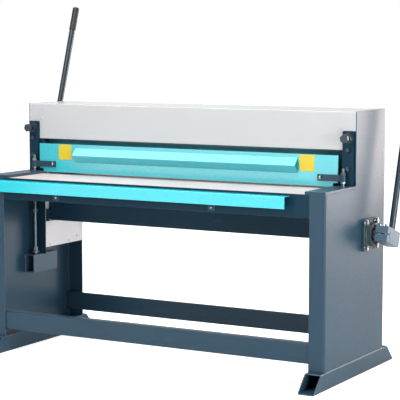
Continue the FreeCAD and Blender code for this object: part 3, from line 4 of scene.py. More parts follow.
import bmesh
import bpy
from mathutils import Matrix, Vector
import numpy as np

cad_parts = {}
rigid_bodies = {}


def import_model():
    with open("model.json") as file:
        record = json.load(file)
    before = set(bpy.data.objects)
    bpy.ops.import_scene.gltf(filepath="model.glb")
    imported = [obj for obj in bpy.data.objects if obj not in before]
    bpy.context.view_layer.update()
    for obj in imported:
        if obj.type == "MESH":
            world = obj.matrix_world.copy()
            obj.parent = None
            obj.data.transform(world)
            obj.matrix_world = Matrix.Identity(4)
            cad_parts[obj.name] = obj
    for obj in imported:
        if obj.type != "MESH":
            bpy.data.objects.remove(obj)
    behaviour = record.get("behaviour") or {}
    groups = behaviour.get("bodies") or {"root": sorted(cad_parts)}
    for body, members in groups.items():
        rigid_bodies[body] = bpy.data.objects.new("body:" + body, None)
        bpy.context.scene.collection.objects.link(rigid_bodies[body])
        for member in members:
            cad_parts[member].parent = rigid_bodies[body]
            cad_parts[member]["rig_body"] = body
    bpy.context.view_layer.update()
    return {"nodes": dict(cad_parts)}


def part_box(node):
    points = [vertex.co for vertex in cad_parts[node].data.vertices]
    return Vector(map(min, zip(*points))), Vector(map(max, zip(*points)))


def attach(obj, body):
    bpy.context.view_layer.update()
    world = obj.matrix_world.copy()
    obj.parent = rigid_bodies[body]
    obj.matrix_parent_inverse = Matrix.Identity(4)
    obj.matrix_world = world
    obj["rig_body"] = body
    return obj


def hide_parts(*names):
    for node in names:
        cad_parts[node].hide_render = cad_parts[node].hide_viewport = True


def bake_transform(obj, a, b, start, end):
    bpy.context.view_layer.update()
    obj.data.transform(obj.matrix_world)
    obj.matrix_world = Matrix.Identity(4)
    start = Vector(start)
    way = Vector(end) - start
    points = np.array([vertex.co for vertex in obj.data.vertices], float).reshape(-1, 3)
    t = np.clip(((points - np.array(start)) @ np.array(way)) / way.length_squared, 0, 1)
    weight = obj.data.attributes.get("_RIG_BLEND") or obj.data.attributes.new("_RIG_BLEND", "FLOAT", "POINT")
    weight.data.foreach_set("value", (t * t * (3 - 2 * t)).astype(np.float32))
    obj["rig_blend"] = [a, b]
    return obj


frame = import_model()
nodes = frame["nodes"]
mm = 0.001
print("frame loaded:", len(nodes), "pieces")


def inMetres(**sizes):
    return {name: value * mm for name, value in sizes.items()}


# Wiring of shader trees


def feed(tree, node, feeds):
    for name, source in feeds.items():
        if isinstance(source, bpy.types.NodeSocket):
            tree.links.new(source, node.inputs[name])
        else:
            node.inputs[name].default_value = source


def addNode(tree, kind, feeds=None, **settings):
    node = tree.nodes.new("ShaderNode" + kind)
    for name, value in settings.items():
        setattr(node, name, value)
    feed(tree, node, feeds or {})
    return node


def newGroup(name, inputs, outputs):
    tree = bpy.data.node_groups.new(name, "ShaderNodeTree")
    for label, value in inputs.items():
        kind = "NodeSocketColor" if isinstance(value, tuple) else "NodeSocketFloat"
        socket = tree.interface.new_socket(name=label, in_out="INPUT", socket_type=kind)
        socket.default_value = value
    for label, kind in outputs.items():
        tree.interface.new_socket(name=label, in_out="OUTPUT", socket_type="NodeSocket" + kind)
    given = tree.nodes.new("NodeGroupInput").outputs
    result = tree.nodes.new("NodeGroupOutput").inputs
    return tree, given, result


def useGroup(tree, group, **values):
    return addNode(tree, "Group", values, node_tree=group).outputs


def objectPlace(tree):
    return addNode(tree, "TexCoord").outputs["Object"]


def mapped(tree, value, low, high, toLow=0.0, toHigh=1.0):
    feeds = {"Value": value, "From Min": low, "From Max": high, "To Min": toLow, "To Max": toHigh}
    return addNode(tree, "MapRange", feeds).outputs["Result"]


def times(tree, first, second):
    return addNode(tree, "Math", {0: first, 1: second}, operation="MULTIPLY").outputs[0]


def blended(tree, mask, first, second, **settings):
    return addNode(tree, "Mix", {0: mask, 6: first, 7: second}, data_type="RGBA", **settings).outputs[2]


def noisy(tree, size, detail=2.0, roughness=0.5, place=None, distortion=0.0):
    return addNode(tree, "TexNoise", {
        "Vector": place or objectPlace(tree), "Scale": size, "Detail": detail, "Roughness": roughness,
        "Distortion": distortion}).outputs["Fac"]


def evened(tree, noise, toLow=0.0, toHigh=1.0):
    return mapped(tree, noise, 0.3, 0.7, toLow, toHigh)  # most of a noise lies between these


# Effects shared by the finishes


# Pale spots along the bevelled edges: partly paint worn off, partly painted highlight for the light the edges
# catch
def makeEdgeWearAndHighlight():
    tree, given, result = newGroup("edgeWear", {"Amount": 0.5, "Size": 40.0}, {"Mask": "Float"})
    edge = addNode(tree, "Attribute", attribute_name="edge").outputs["Fac"]
    spots = mapped(tree, noisy(tree, given["Size"], detail=5.0, roughness=0.65), low=0.42, high=0.62)
    tree.links.new(times(tree, times(tree, edge, spots), given["Amount"]), result["Mask"])
    return tree


def makeCloudTone():
    tree, given, result = newGroup("cloudTone", {
        "Size": 3.0, "First": (0.5, 0.5, 0.5, 1), "Second": (0.4, 0.4, 0.4, 1)}, {"Color": "Color"})
    mask = evened(tree, noisy(tree, given["Size"], detail=3.0))
    tree.links.new(blended(tree, mask, given["First"], given["Second"]), result["Color"])
    return tree


def makeOrangePeel():
    tree, given, result = newGroup("orangePeel", {"Size": 420.0, "Height": 0.15},
                                   {"Normal": "Vector", "Relief": "Float"})
    relief = noisy(tree, given["Size"], roughness=0.4)
    bump = addNode(tree, "Bump", {"Height": relief, "Strength": given["Height"], "Distance": 0.4 * mm})
    tree.links.new(bump.outputs["Normal"], result["Normal"])
    tree.links.new(relief, result["Relief"])
    return tree


def makeDustFall():
    tree, given, result = newGroup("dustFall", {"Amount": 0.3}, {"Mask": "Float"})
    up = addNode(tree, "SeparateXYZ", {"Vector": addNode(tree, "TexCoord").outputs["Normal"]}).outputs["Z"]
    facingUp = mapped(tree, up, low=0.5, high=1.0)
    specks = mapped(tree, noisy(tree, 22.0, detail=8.0, roughness=0.7), low=0.45, high=0.75)
    tree.links.new(times(tree, times(tree, facingUp, specks), given["Amount"]), result["Mask"])
    return tree


def makeScuffs():
    tree, given, result = newGroup("scuffs", {"Amount": 0.3, "Size": 14.0}, {"Mask": "Float"})
    place = addNode(tree, "Mapping", {"Vector": objectPlace(tree), "Rotation": (0.3, 0.5, 0.7),
                                      "Scale": (1.0, 9.0, 3.0)}).outputs["Vector"]
    warp = noisy(tree, given["Size"], detail=6.0, roughness=0.6, place=place, distortion=0.6)
    streaks = mapped(tree, warp, low=0.6, high=0.66)
    patches = mapped(tree, noisy(tree, 4.0), low=0.5, high=0.7)
    tree.links.new(times(tree, times(tree, streaks, patches), given["Amount"]), result["Mask"])
    return tree


def makeToolGrain():
    tree, given, result = newGroup(
        "toolGrain", {"Size": 60.0, "Along X": 1.0, "Along Y": 1.0, "Along Z": 1.0, "Height": 0.1},
        {"Value": "Float", "Normal": "Vector"})
    stretch = addNode(tree, "CombineXYZ", {axis: given["Along " + axis] for axis in "XYZ"})
    place = addNode(tree, "Mapping", {"Vector": objectPlace(tree), "Scale": stretch.outputs["Vector"]})
    grain = noisy(tree, given["Size"], detail=6.0, roughness=0.7, place=place.outputs["Vector"])
    bump = addNode(tree, "Bump", {"Height": grain, "Strength": given["Height"], "Distance": 0.2 * mm})
    tree.links.new(grain, result["Value"])
    tree.links.new(bump.outputs["Normal"], result["Normal"])
    return tree


edgeWear = makeEdgeWearAndHighlight()
cloudTone = makeCloudTone()
orangePeel = makeOrangePeel()
dustFall = makeDustFall()
scuffs = makeScuffs()
toolGrain = makeToolGrain()

# Paints, each with what sets it apart from the usual one

# Each paint's pale edge colour is a lighter tint of it, laid on the edges as wear and painted highlight, and
# on scuffs
usualPaint = {"wear": 0.3, "gloss": 0.5, "coat": 0.1, "dust": 0.05, "scuff": 0.2}
paints = {
    "frame_paint": {
        "first": (0.023, 0.058, 0.091), "second": (0.018, 0.051, 0.083), "worn": (0.22, 0.28, 0.32),
        "rough": (0.26, 0.38), "wear": 0.25, "gloss": 0.26, "coat": 0.0},
    # frame paint made darker for the beams and plates that sit in shade under the table and cover: painted
    # shade
    "beam_paint": {
        "first": (0.008, 0.036, 0.060), "second": (0.006, 0.031, 0.054), "worn": (0.2, 0.26, 0.3),
        "rough": (0.28, 0.40), "wear": 0.25, "gloss": 0.1, "coat": 0.0, "dust": 0.03, "scuff": 0.15},
    "upper_beam_paint": {
        "first": (0.110, 0.460, 0.550), "second": (0.100, 0.440, 0.530), "worn": (0.2, 0.26, 0.3),
        "rough": (0.28, 0.40), "wear": 0.25, "gloss": 0.4, "coat": 0.2, "dust": 0.03, "scuff": 0.15},
    # frame paint made lighter for the rod brackets, with more pale edges: painted light
    "bracket_paint": {
        "first": (0.043, 0.086, 0.130), "second": (0.036, 0.077, 0.120), "worn": (0.3, 0.36, 0.42),
        "rough": (0.26, 0.38), "wear": 0.6, "gloss": 0.3, "coat": 0.0, "scuff": 0.3},
    "crank_paint": {
        "first": (0.074, 0.128, 0.176), "second": (0.062, 0.112, 0.158), "worn": (0.3, 0.34, 0.36),
        "rough": (0.34, 0.50), "wear": 0.6, "gloss": 0.4, "dust": 0.08, "scuff": 0.4},
    "lever_paint": {
        "first": (0.020, 0.038, 0.054), "second": (0.016, 0.032, 0.047), "worn": (0.3, 0.33, 0.34),
        "rough": (0.18, 0.26), "wear": 0.25, "coat": 0.3, "dust": 0.0, "scuff": 0.1},
    "cover_paint": {
        "first": (0.485, 0.495, 0.50), "second": (0.46, 0.475, 0.485), "worn": (0.75, 0.76, 0.76),
        "rough": (0.32, 0.42), "wear": 0.2, "coat": 0.4, "scuff": 0.15},
    "panel_sheet": {
        "first": (0.60, 0.615, 0.65), "second": (0.57, 0.585, 0.62), "worn": (0.85, 0.85, 0.87),
        "rough": (0.36, 0.48), "dust": 0.06},
    "strip_paint": {
        "first": (0.004, 0.520, 0.610), "second": (0.003, 0.500, 0.590), "worn": (0.55, 0.88, 0.92),
        "rough": (0.20, 0.32), "wear": 0.35, "coat": 0.5, "dust": 0.02, "scuff": 0.3},
    "guard_paint": {
        "first": (0.032, 0.475, 0.540), "second": (0.028, 0.455, 0.520), "worn": (0.5, 0.82, 0.86),
        "rough": (0.20, 0.32), "coat": 0.8, "dust": 0.02},
    "bearing_iron": {
        "first": (0.019, 0.044, 0.047), "second": (0.015, 0.037, 0.040), "worn": (0.20, 0.26, 0.26),
        "rough": (0.40, 0.60), "gloss": 0.4},
    "marker_yellow": {
        "first": (0.66, 0.51, 0.005), "second": (0.62, 0.47, 0.005), "worn": (0.72, 0.64, 0.3),
        "rough": (0.30, 0.42), "coat": 0.2, "dust": 0.02, "scuff": 0.1},
}
paintwork = {"cloud": 2.5, "dustTone": (0.45, 0.45, 0.44, 1), "scuffPale": 0.25, "scuffDull": 0.2,
             "peel": 0.12, "coatRough": 0.12}


def opaque(colour):
    return (*colour, 1)


def newMaterial(name):
    material = bpy.data.materials.new(name)
    material.use_nodes = True
    tree = material.node_tree
    shader = tree.nodes["Principled BSDF"]
    return material, tree, shader


def cloudy(tree, size, first, second):
    return useGroup(tree, cloudTone, Size=size, First=opaque(first), Second=opaque(second))["Color"]


def paintFinish(name, look):
    look = {**usualPaint, **look}
    pale = opaque(look["worn"])
    material, tree, shader = newMaterial(name)
    tone = cloudy(tree, paintwork["cloud"], look["first"], look["second"])
    dust = useGroup(tree, dustFall, Amount=look["dust"])["Mask"]
    marks = useGroup(tree, scuffs, Amount=look["scuff"])["Mask"]
    worn = useGroup(tree, edgeWear, Amount=look["wear"])["Mask"]
    colour = blended(tree, dust, tone, paintwork["dustTone"])
    colour = blended(tree, times(tree, marks, paintwork["scuffPale"]), colour, pale)
    peel = useGroup(tree, orangePeel, Height=paintwork["peel"])
    rough = evened(tree, peel["Relief"], *look["rough"])
    duller = addNode(tree, "Math", {0: rough, 1: times(tree, marks, paintwork["scuffDull"])}, operation="ADD")
    feed(tree, shader, {
        "Base Color": blended(tree, worn, colour, pale), "Normal": peel["Normal"],
        "Roughness": duller.outputs[0], "Specular IOR Level": look["gloss"], "Coat Weight": look["coat"],
        "Coat Roughness": paintwork["coatRough"]})
    return material


# Metals, with the size of their grain and its stretch along X, Y and Z

metals = {
    "table_steel": {
        "light": (0.70, 0.60, 0.595), "dark": (0.64, 0.55, 0.545), "metallic": 0.1,
        "grain": (40.0, 1.0, 14.0, 14.0), "height": 0.10, "rough": (0.30, 0.48), "wear": 0.3},
    "knife_steel": {
        "light": (0.80, 0.81, 0.82), "dark": (0.62, 0.63, 0.65), "metallic": 1.0,
        "grain": (60.0, 30.0, 30.0, 1.0), "height": 0.15, "rough": (0.20, 0.38), "wear": 0.6},
    "zinc": {
        "light": (0.50, 0.54, 0.57), "dark": (0.28, 0.33, 0.37), "metallic": 1.0,
        "grain": (160.0, 1.0, 1.0, 1.0), "height": 0.08, "rough": (0.16, 0.32), "wear": 0.4},
    # zinc made darker for the rods and their nuts under the table: painted shade
    "rod_steel": {
        "light": (0.23, 0.28, 0.32), "dark": (0.13, 0.17, 0.20), "metallic": 0.7,
        "grain": (160.0, 1.0, 1.0, 1.0), "height": 0.05, "rough": (0.28, 0.42), "wear": 0.3},
    "bearing_steel": {
        "light": (0.30, 0.32, 0.34), "dark": (0.16, 0.17, 0.19), "metallic": 1.0,
        "grain": (50.0, 24.0, 1.0, 1.0), "height": 0.10, "rough": (0.18, 0.36), "wear": 0.5},
    "guide_steel": {
        "light": (0.060, 0.085, 0.105), "dark": (0.022, 0.038, 0.052), "metallic": 0.5,
        "grain": (46.0, 12.0, 12.0, 1.0), "height": 0.12, "rough": (0.26, 0.42), "wear": 0.5},
    "spring_steel": {
        "light": (0.10, 0.125, 0.15), "dark": (0.05, 0.065, 0.08), "metallic": 0.7,
        "grain": (140.0, 1.0, 1.0, 3.0), "height": 0.05, "rough": (0.22, 0.36), "wear": 0.3},
}
metalwork = {"cloud": 6.0, "clear": (1, 1, 1), "dull": (0.86, 0.87, 0.88), "wearAndHighlightSize": 60.0, "gain": 1.25,
             "lift": 0.05}


def metalFinish(name, look):
    material, tree, shader = newMaterial(name)
    size, *along = look["grain"]
    grain = useGroup(tree, toolGrain, Size=size, Height=look["height"],
                     **{"Along " + axis: stretch for axis, stretch in zip("XYZ", along)})
    colour = blended(tree, evened(tree, grain["Value"]), opaque(look["dark"]), opaque(look["light"]))
    cloud = cloudy(tree, metalwork["cloud"], metalwork["clear"], metalwork["dull"])
    tint = blended(tree, 1.0, colour, cloud, blend_type="MULTIPLY")
    worn = useGroup(tree, edgeWear, Amount=look["wear"], Size=metalwork["wearAndHighlightSize"])["Mask"]
    # edges lightened towards a brighter tone: partly polished wear, partly painted highlight
    bright = tuple(min(1.0, part * metalwork["gain"] + metalwork["lift"]) for part in look["light"])
    feed(tree, shader, {
        "Base Color": blended(tree, worn, tint, opaque(bright)), "Normal": grain["Normal"],
        "Roughness": evened(tree, grain["Value"], *reversed(look["rough"])), "Metallic": look["metallic"]})
    return material


rubbers = {
    "grip_rubber": {"first": (0.008, 0.008, 0.009), "second": (0.013, 0.013, 0.014), "rough": (0.32, 0.50)},
    "pad_rubber": {"first": (0.018, 0.018, 0.019), "second": (0.03, 0.03, 0.031), "rough": (0.6, 0.8)},
}
rubberwork = {"cloud": 30.0, "dust": 0.15, "dustTone": (0.3, 0.3, 0.29, 1), "skin": 900.0, "skinHeight": 0.3}


def rubberFinish(name, look):
    material, tree, shader = newMaterial(name)
    tone = cloudy(tree, rubberwork["cloud"], look["first"], look["second"])
    dust = useGroup(tree, dustFall, Amount=rubberwork["dust"])["Mask"]
    skin = useGroup(tree, orangePeel, Size=rubberwork["skin"], Height=rubberwork["skinHeight"])
    feed(tree, shader, {
        "Base Color": blended(tree, dust, tone, rubberwork["dustTone"]), "Normal": skin["Normal"],
        "Roughness": evened(tree, skin["Relief"], *look["rough"])})
    return material


# Each piece has the record's slot, and a few have a finish of their own within it

finishes = {
    name: makeFinish(name, look)
    for makeFinish, looks in ((paintFinish, paints), (metalFinish, metals), (rubberFinish, rubbers))
    for name, look in looks.items()
}
slotOf = {name: node.data.materials[0].name.split(".")[0] for name, node in nodes.items()}
slotOf.update({"guide_plates": "frame_paint", "strip_brackets": "frame_paint", "cross_shaft": "crank_paint"})
# beams and plates in shade take a darker copy of the frame paint: painted shade
finishOf = dict.fromkeys(["guide_plates", "column_plates", "front_beam", "lower_knife_beam"], "beam_paint")
# rods and nuts take a darker metal as painted shade; the rod brackets a lighter paint as painted light
finishOf.update({"upper_knife_beam": "upper_beam_paint", "hold_down_rods": "rod_steel",
                 "rod_nuts": "rod_steel", "rod_brackets": "bracket_paint"})
print("finishes made:", len(finishes))

# Modelling helpers

leverLean = math.radians(17.8)  # of the levers at rest
turns = {
    "Z": Matrix.Identity(4),
    "-Z": Matrix.Rotation(math.pi, 4, "X"),
    "X": Matrix.Rotation(math.pi / 2, 4, "Y"),
    "-X": Matrix.Rotation(-math.pi / 2, 4, "Y"),
    "Y": Matrix.Rotation(-math.pi / 2, 4, "X"),
    "-Y": Matrix.Rotation(math.pi / 2, 4, "X"),
    "lever": Matrix.Rotation(-leverLean, 4, "X"),
}
near = {"weld": 1e-6, "stack": 2e-6, "cut": 1e-7}  # points as near as this are one
edgeLook = {"crease": 28, "smooth": 32, "flat": 0.2}
cornerSteps = 5
roundSteps = {"usual": 48, "rod": 32, "rodTip": 24, "nipple": 16, "boss": 72, "seal": 64}


def pieceName(node):
    first, *rest = node.split("_")
    return first + "".join(word.capitalize() for word in rest)


def newShape():
    shape = bmesh.new()
    shape.faces.layers.float.new("edge")
    return shape


def absorb(shape, part, matrix=turns["Z"]):
    bmesh.ops.transform(part, matrix=matrix, verts=part.verts)
    passing = bpy.data.meshes.new("passing")
    part.to_mesh(passing)
    part.free()
    shape.from_mesh(passing)
    bpy.data.meshes.remove(passing)


def facing(direction, place, angle=0):
    return Matrix.Translation(place) @ turns[direction] @ Matrix.Rotation(math.radians(angle), 4, "Z")


def onlyEdges(items):
    return [item for item in items if isinstance(item, bmesh.types.BMEdge)]


def span(edge, axis):
    return abs(edge.verts[0].co[axis] - edge.verts[1].co[axis])


def softenEdges(shape, width, segments=2, keep=lambda edge: True):
    layer = shape.faces.layers.float["edge"]
    crease = math.radians(edgeLook["crease"])
    edges = [
        edge for edge in shape.edges
        if len(edge.link_faces) == 2 and edge.is_convex and edge.calc_face_angle(0) > crease and keep(edge)
    ]
    made = bmesh.ops.bevel(shape, geom=edges, offset=width, offset_type="OFFSET", segments=segments,
                           profile=0.5, affect="EDGES", material=-1, clamp_overlap=False)
    for face in made["faces"]:
        face[layer] = 1.0


def copyNode(node):
    shape = newShape()
    shape.from_mesh(nodes[node].data)
    bmesh.ops.remove_doubles(shape, verts=shape.verts, dist=near["weld"])
    bmesh.ops.dissolve_limit(shape, angle_limit=math.radians(edgeLook["flat"]), verts=shape.verts,
                             edges=shape.edges, delimit={"NORMAL"})
    return shape


def solidBoxes(node):
    shape = copyNode(node)
    waiting = set(shape.verts)
    boxes = []
    while waiting:
        stack = [waiting.pop()]
        places = []
        while stack:
            vertex = stack.pop()
            places.append(vertex.co.copy())
            joined = {edge.other_vert(vertex) for edge in vertex.link_edges} & waiting
            waiting -= joined
            stack.extend(joined)
        boxes.append([Vector([pick(row) for row in zip(*places)]) for pick in (min, max)])
    shape.free()
    return sorted(boxes, key=lambda box: tuple(box[0]))


def middle(low, high, axis, level):
    place = (low + high) / 2
    place[axis] = level
    return place


def addObject(name, data):
    made = bpy.data.objects.new(name, data)
    bpy.context.scene.collection.objects.link(made)
    return made


def addPiece(name, shape, body, slotName, smooth=edgeLook["smooth"], finish=None):
    for face in shape.faces:
        face.smooth = True
    mesh = bpy.data.meshes.new(name)
    shape.to_mesh(mesh)
    shape.free()
    mesh.set_sharp_from_angle(angle=math.radians(smooth))
    mesh.materials.append(finishes[finish or slotName])
    piece = addObject(name, mesh)
    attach(piece, body)
    return piece


def finishPiece(node, shape, name=None, slotName=None, smooth=edgeLook["smooth"]):
    piece = addPiece(name or pieceName(node), shape, nodes[node]["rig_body"], slotName or slotOf[node],
                     smooth, finishOf.get(node))
    piece.modifiers.new("faceNormals", "WEIGHTED_NORMAL").keep_sharp = True
    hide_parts(node)


def outline(shape, profile):
    rim = [shape.verts.new((radius, 0, height)) for radius, height in profile]
    return rim + [shape.edges.new(pair) for pair in zip(rim, rim[1:])]


def faceOutwards(shape):
    bmesh.ops.recalc_face_normals(shape, faces=shape.faces)
    return shape


def sweep(shape, items, steps, rise=0.0):
    bmesh.ops.spin(shape, geom=items, cent=(0, 0, 0), axis=(0, 0, 1), dvec=(0, 0, rise / steps),
                   angle=math.tau, steps=steps, use_merge=not rise, use_duplicate=False)


def turned(profile, steps=roundSteps["usual"]):
    shape = newShape()
    sweep(shape, outline(shape, profile), steps)
    bmesh.ops.remove_doubles(shape, verts=shape.verts, dist=near["weld"])
    return faceOutwards(shape)


def quarterArc(radius, steps=6):
    angles = [math.pi / 2 * step / steps for step in range(steps + 1)]
    return [(radius * (1 - math.cos(angle)), radius * (1 - math.sin(angle))) for angle in angles]


def block(low, high):
    shape = newShape()
    bmesh.ops.create_cube(shape, size=1.0)
    bmesh.ops.scale(shape, vec=high - low, verts=shape.verts)
    bmesh.ops.translate(shape, vec=(low + high) / 2, verts=shape.verts)
    return shape


# Pieces that keep their CAD form, with their edges broken by so many mm

plates = {
    0.8: ["left_side_frame", "right_side_frame", "left_top_plate", "right_top_plate", "column_plates",
          "front_beam", "lower_knife_beam", "beam_mounts", "upper_knife_beam", "rod_brackets"],
    0.5: ["table_ledge", "guide_plates", "guide_bars", "strip_brackets", "guard_plate", "guard_ridge",
          "edge_strip", "hold_down_arms", "hold_down_bar", "yokes", "inner_panels"],
    0.7: ["table_plate", "cranks", "left_lever", "right_lever", "hold_down_pad"],
    1.6: ["left_clamp_block", "right_clamp_block"],
    0.3: ["lower_knife", "upper_knife", "cross_shaft", "crank_pins", "bearing_inner_rings",
          "bearing_outer_rings", "spring_pins"],
}
bearingRing = inMetres(outer=26.95, room=0.5)  # the inner rings turn clear of the outer ones
shaftCentre = middle(*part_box("cross_shaft"), 0, 0)


def easeRings(shape):
    for vertex in shape.verts:
        away = vertex.co - Vector((vertex.co.x, shaftCentre.y, shaftCentre.z))
        if away.length > bearingRing["outer"]:
            vertex.co -= away.normalized() * bearingRing["room"]


def dressPlates():
    for width, names in plates.items():
        for node in names:
            shape = copyNode(node)
            if node == "bearing_inner_rings":
                easeRings(shape)
            softenEdges(shape, width * mm)
            finishPiece(node, shape)
    print("plates dressed:", sum(len(names) for names in plates.values()))


dressPlates()

cover = inMetres(edge=0.5, forward=3.2, overlap=6.5, skin=2.6)  # its front laps over the side frames


def dressCover():
    shape = copyNode("top_cover")
    low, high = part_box("top_cover")
    for vertex in shape.verts:
        if vertex.co.y < low.y + cover["skin"]:
            vertex.co.y -= cover["forward"]
            if abs(vertex.co.x) > high.x - cover["edge"]:
                vertex.co.x += math.copysign(cover["overlap"], vertex.co.x)
    softenEdges(shape, cover["edge"])
    finishPiece("top_cover", shape)


dressCover()

# Tubes with rolled corners

tubes = inMetres(corner=5.0, edge=0.6, near=0.01)
tubeAxes = {"left_foot": 1, "right_foot": 1, "front_crossbar": 0, "rear_crossbar": 0}


def dressTubes():
    for node, axis in tubeAxes.items():
        shape = copyNode(node)
        low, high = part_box(node)
        across = [other for other in range(3) if other != axis]

        def outer(edge):
            place = edge.verts[0].co
            return all(
                span(edge, side) < tubes["near"]
                and min(abs(place[side] - low[side]), abs(place[side] - high[side])) < tubes["near"]
                for side in across)

        softenEdges(shape, tubes["corner"], cornerSteps, keep=outer)
        layer = shape.faces.layers.float["edge"]
        for face in shape.faces:
            face[layer] = 0.0
        softenEdges(shape, tubes["edge"])
        finishPiece(node, shape)
    print("tubes dressed")


dressTubes()

# Forms of screws, bolts and nuts, along Z

hexLook = {"facets": 24, "lean": 30, "circle": 0.94}
threadLook = {"steps": 24, "depth": 0.6, "profile": ((0.0, 1), (0.125, 0), (0.5, 0), (0.625, 1), (1.0, 1))}
headLook = {"steps": 36, "soft": 0.12, "keyRim": 1.12, "washerSoft": 0.2}


def cutAway(shape, place, normal):
    made = bmesh.ops.bisect_plane(shape, geom=shape.verts[:] + shape.edges[:] + shape.faces[:],
                                  dist=near["cut"], plane_co=place, plane_no=normal, clear_outer=True)
    rim = onlyEdges(made["geom_cut"])
    if len(rim) > 2:
        bmesh.ops.holes_fill(shape, edges=rim, sides=0)


def hexBlock(flats, low, high, ends=(True, True)):
    shape = newShape()
    radius = flats / math.sqrt(3)
    bmesh.ops.create_cone(shape, cap_ends=True, segments=6, radius1=radius, radius2=radius, depth=high - low)
    bmesh.ops.translate(shape, verts=shape.verts, vec=(0, 0, (low + high) / 2))
    circle = flats / 2 * hexLook["circle"]
    lean = math.radians(hexLook["lean"])
    for end, level, wanted in zip((-1, 1), (low, high), ends):
        for number in range(hexLook["facets"] if wanted else 0):
            angle = math.tau * number / hexLook["facets"]
            outward = Vector((math.cos(angle), math.sin(angle), 0))
            cutAway(shape, outward * circle + Vector((0, 0, level)),
                    outward * math.sin(lean) + Vector((0, 0, end * math.cos(lean))))
    bmesh.ops.remove_doubles(shape, verts=shape.verts, dist=near["weld"])
    return shape


def nut(look, level):
    return hexBlock(look["flats"], level, level + look["nut"])


def washer(bore, outside, low, high):
    soft = (high - low) * headLook["washerSoft"]
    return turned([
        (bore, low), (outside - soft, low), (outside, low + soft), (outside, high - soft),
        (outside - soft, high), (bore, high), (bore, low),
    ])


def stacked(turn, pitch, count):
    passing = bpy.data.meshes.new("passing")
    turn.to_mesh(passing)
    turn.free()
    shape = newShape()
    for number in range(count):
        shape.from_mesh(passing)
        passing.transform(Matrix.Translation((0, 0, pitch)))
    bpy.data.meshes.remove(passing)
    bmesh.ops.remove_doubles(shape, verts=shape.verts, dist=near["stack"])
    return shape


def thread(radius, pitch, low, high):
    turn = newShape()
    depth = pitch * threadLook["depth"]
    profile = [(radius - depth * cut, low + (step - 1) * pitch) for step, cut in threadLook["profile"]]
    sweep(turn, outline(turn, profile), threadLook["steps"], pitch)
    shape = stacked(turn, pitch, math.ceil((high - low) / pitch) + 2)
    for level, side in ((low, -1), (high, 1)):
        cutAway(shape, (0, 0, level), (0, 0, side))
    return faceOutwards(shape)


def rod(radius, low, high, soft=0.6 * mm):
    return turned([
        (0, low), (radius - soft, low), (radius, low + soft), (radius, high - soft),
        (radius - soft, high), (0, high),
    ], roundSteps["rod"])


def sixSided(angle, key):
    turn = (angle + math.pi / 6) % (math.pi / 3) - math.pi / 6
    reach = key * math.cos(math.pi / 6) / math.cos(turn)
    return reach * math.cos(angle), reach * math.sin(angle)


def socketHead(radius, height, key, depth, dome=0.0):
    shape = newShape()
    last = bmesh.ops.create_circle(shape, segments=headLook["steps"], radius=radius)["verts"]
    ring = shape.edges[:]
    bmesh.ops.contextual_create(shape, geom=ring)
    soft = min(radius, height) * headLook["soft"]
    profile = [(radius, height - soft), (radius - soft, height), (key * headLook["keyRim"], height + dome),
               (key, height + dome)]
    for nextRadius, level in profile:
        made = onlyEdges(bmesh.ops.extrude_edge_only(shape, edges=ring)["geom"])
        ring = [edge for edge in made if not any(vertex in last for vertex in edge.verts)]
        last = {vertex for edge in ring for vertex in edge.verts}
        for vertex in last:
            flat = Vector((vertex.co.x, vertex.co.y, 0)).normalized() * nextRadius
            vertex.co = (flat.x, flat.y, level)
    for vertex in last:
        vertex.co.x, vertex.co.y = sixSided(math.atan2(vertex.co.y, vertex.co.x), key)
    made = bmesh.ops.extrude_edge_only(shape, edges=ring)["geom"]
    moved = [item for item in made if isinstance(item, bmesh.types.BMVert)]
    bmesh.ops.translate(shape, verts=moved, vec=(0, 0, -depth))
    floor = [edge for edge in onlyEdges(made) if all(vertex in moved for vertex in edge.verts)]
    bmesh.ops.contextual_create(shape, geom=floor)
    return faceOutwards(shape)


bearingBolt = inMetres(flats=20.5, head=8.5, washer=27, washerWall=2.5, shank=12, nut=10, pitch=1.75, seat=10,
                       tip=1.2, nutRoom=2)
bearingBoltTurn = {"lower": 17, "upper": 40}


def makeBearingBolts():
    look = bearingBolt
    radius = look["shank"] / 2
    shape = newShape()
    for low, high in solidBoxes("bearing_bolts"):
        reach = high.x - low.x
        out, face = ("X", high.x) if high.x > 0 else ("-X", low.x)
        place = middle(low, high, 0, face)
        turn = facing(out, place, bearingBoltTurn["upper" if place.z > shaftCentre.z else "lower"])
        seat = -look["seat"]  # the flange's face lies this far under the top of the head
        rise = seat + look["washerWall"]
        absorb(shape, hexBlock(look["flats"], rise, rise + look["head"], (False, True)), turn)
        absorb(shape, washer(radius, look["washer"] / 2, seat, rise), turn)
        absorb(shape, rod(radius, 0, rise + look["head"] + look["tip"]), turn)
        absorb(shape, thread(radius, look["pitch"], -reach, seat), turn)
        absorb(shape, nut(look, look["nutRoom"] - reach), turn)
    finishPiece("bearing_bolts", shape)


guideBolt = inMetres(flats=32, head=12.6, shank=20, nut=16, washer=42, washerWall=3, pitch=2.5, screw=10,
                     screwFlats=16, longerThan=80)
guideBoltTurn = {"left": 40, "right": 10}


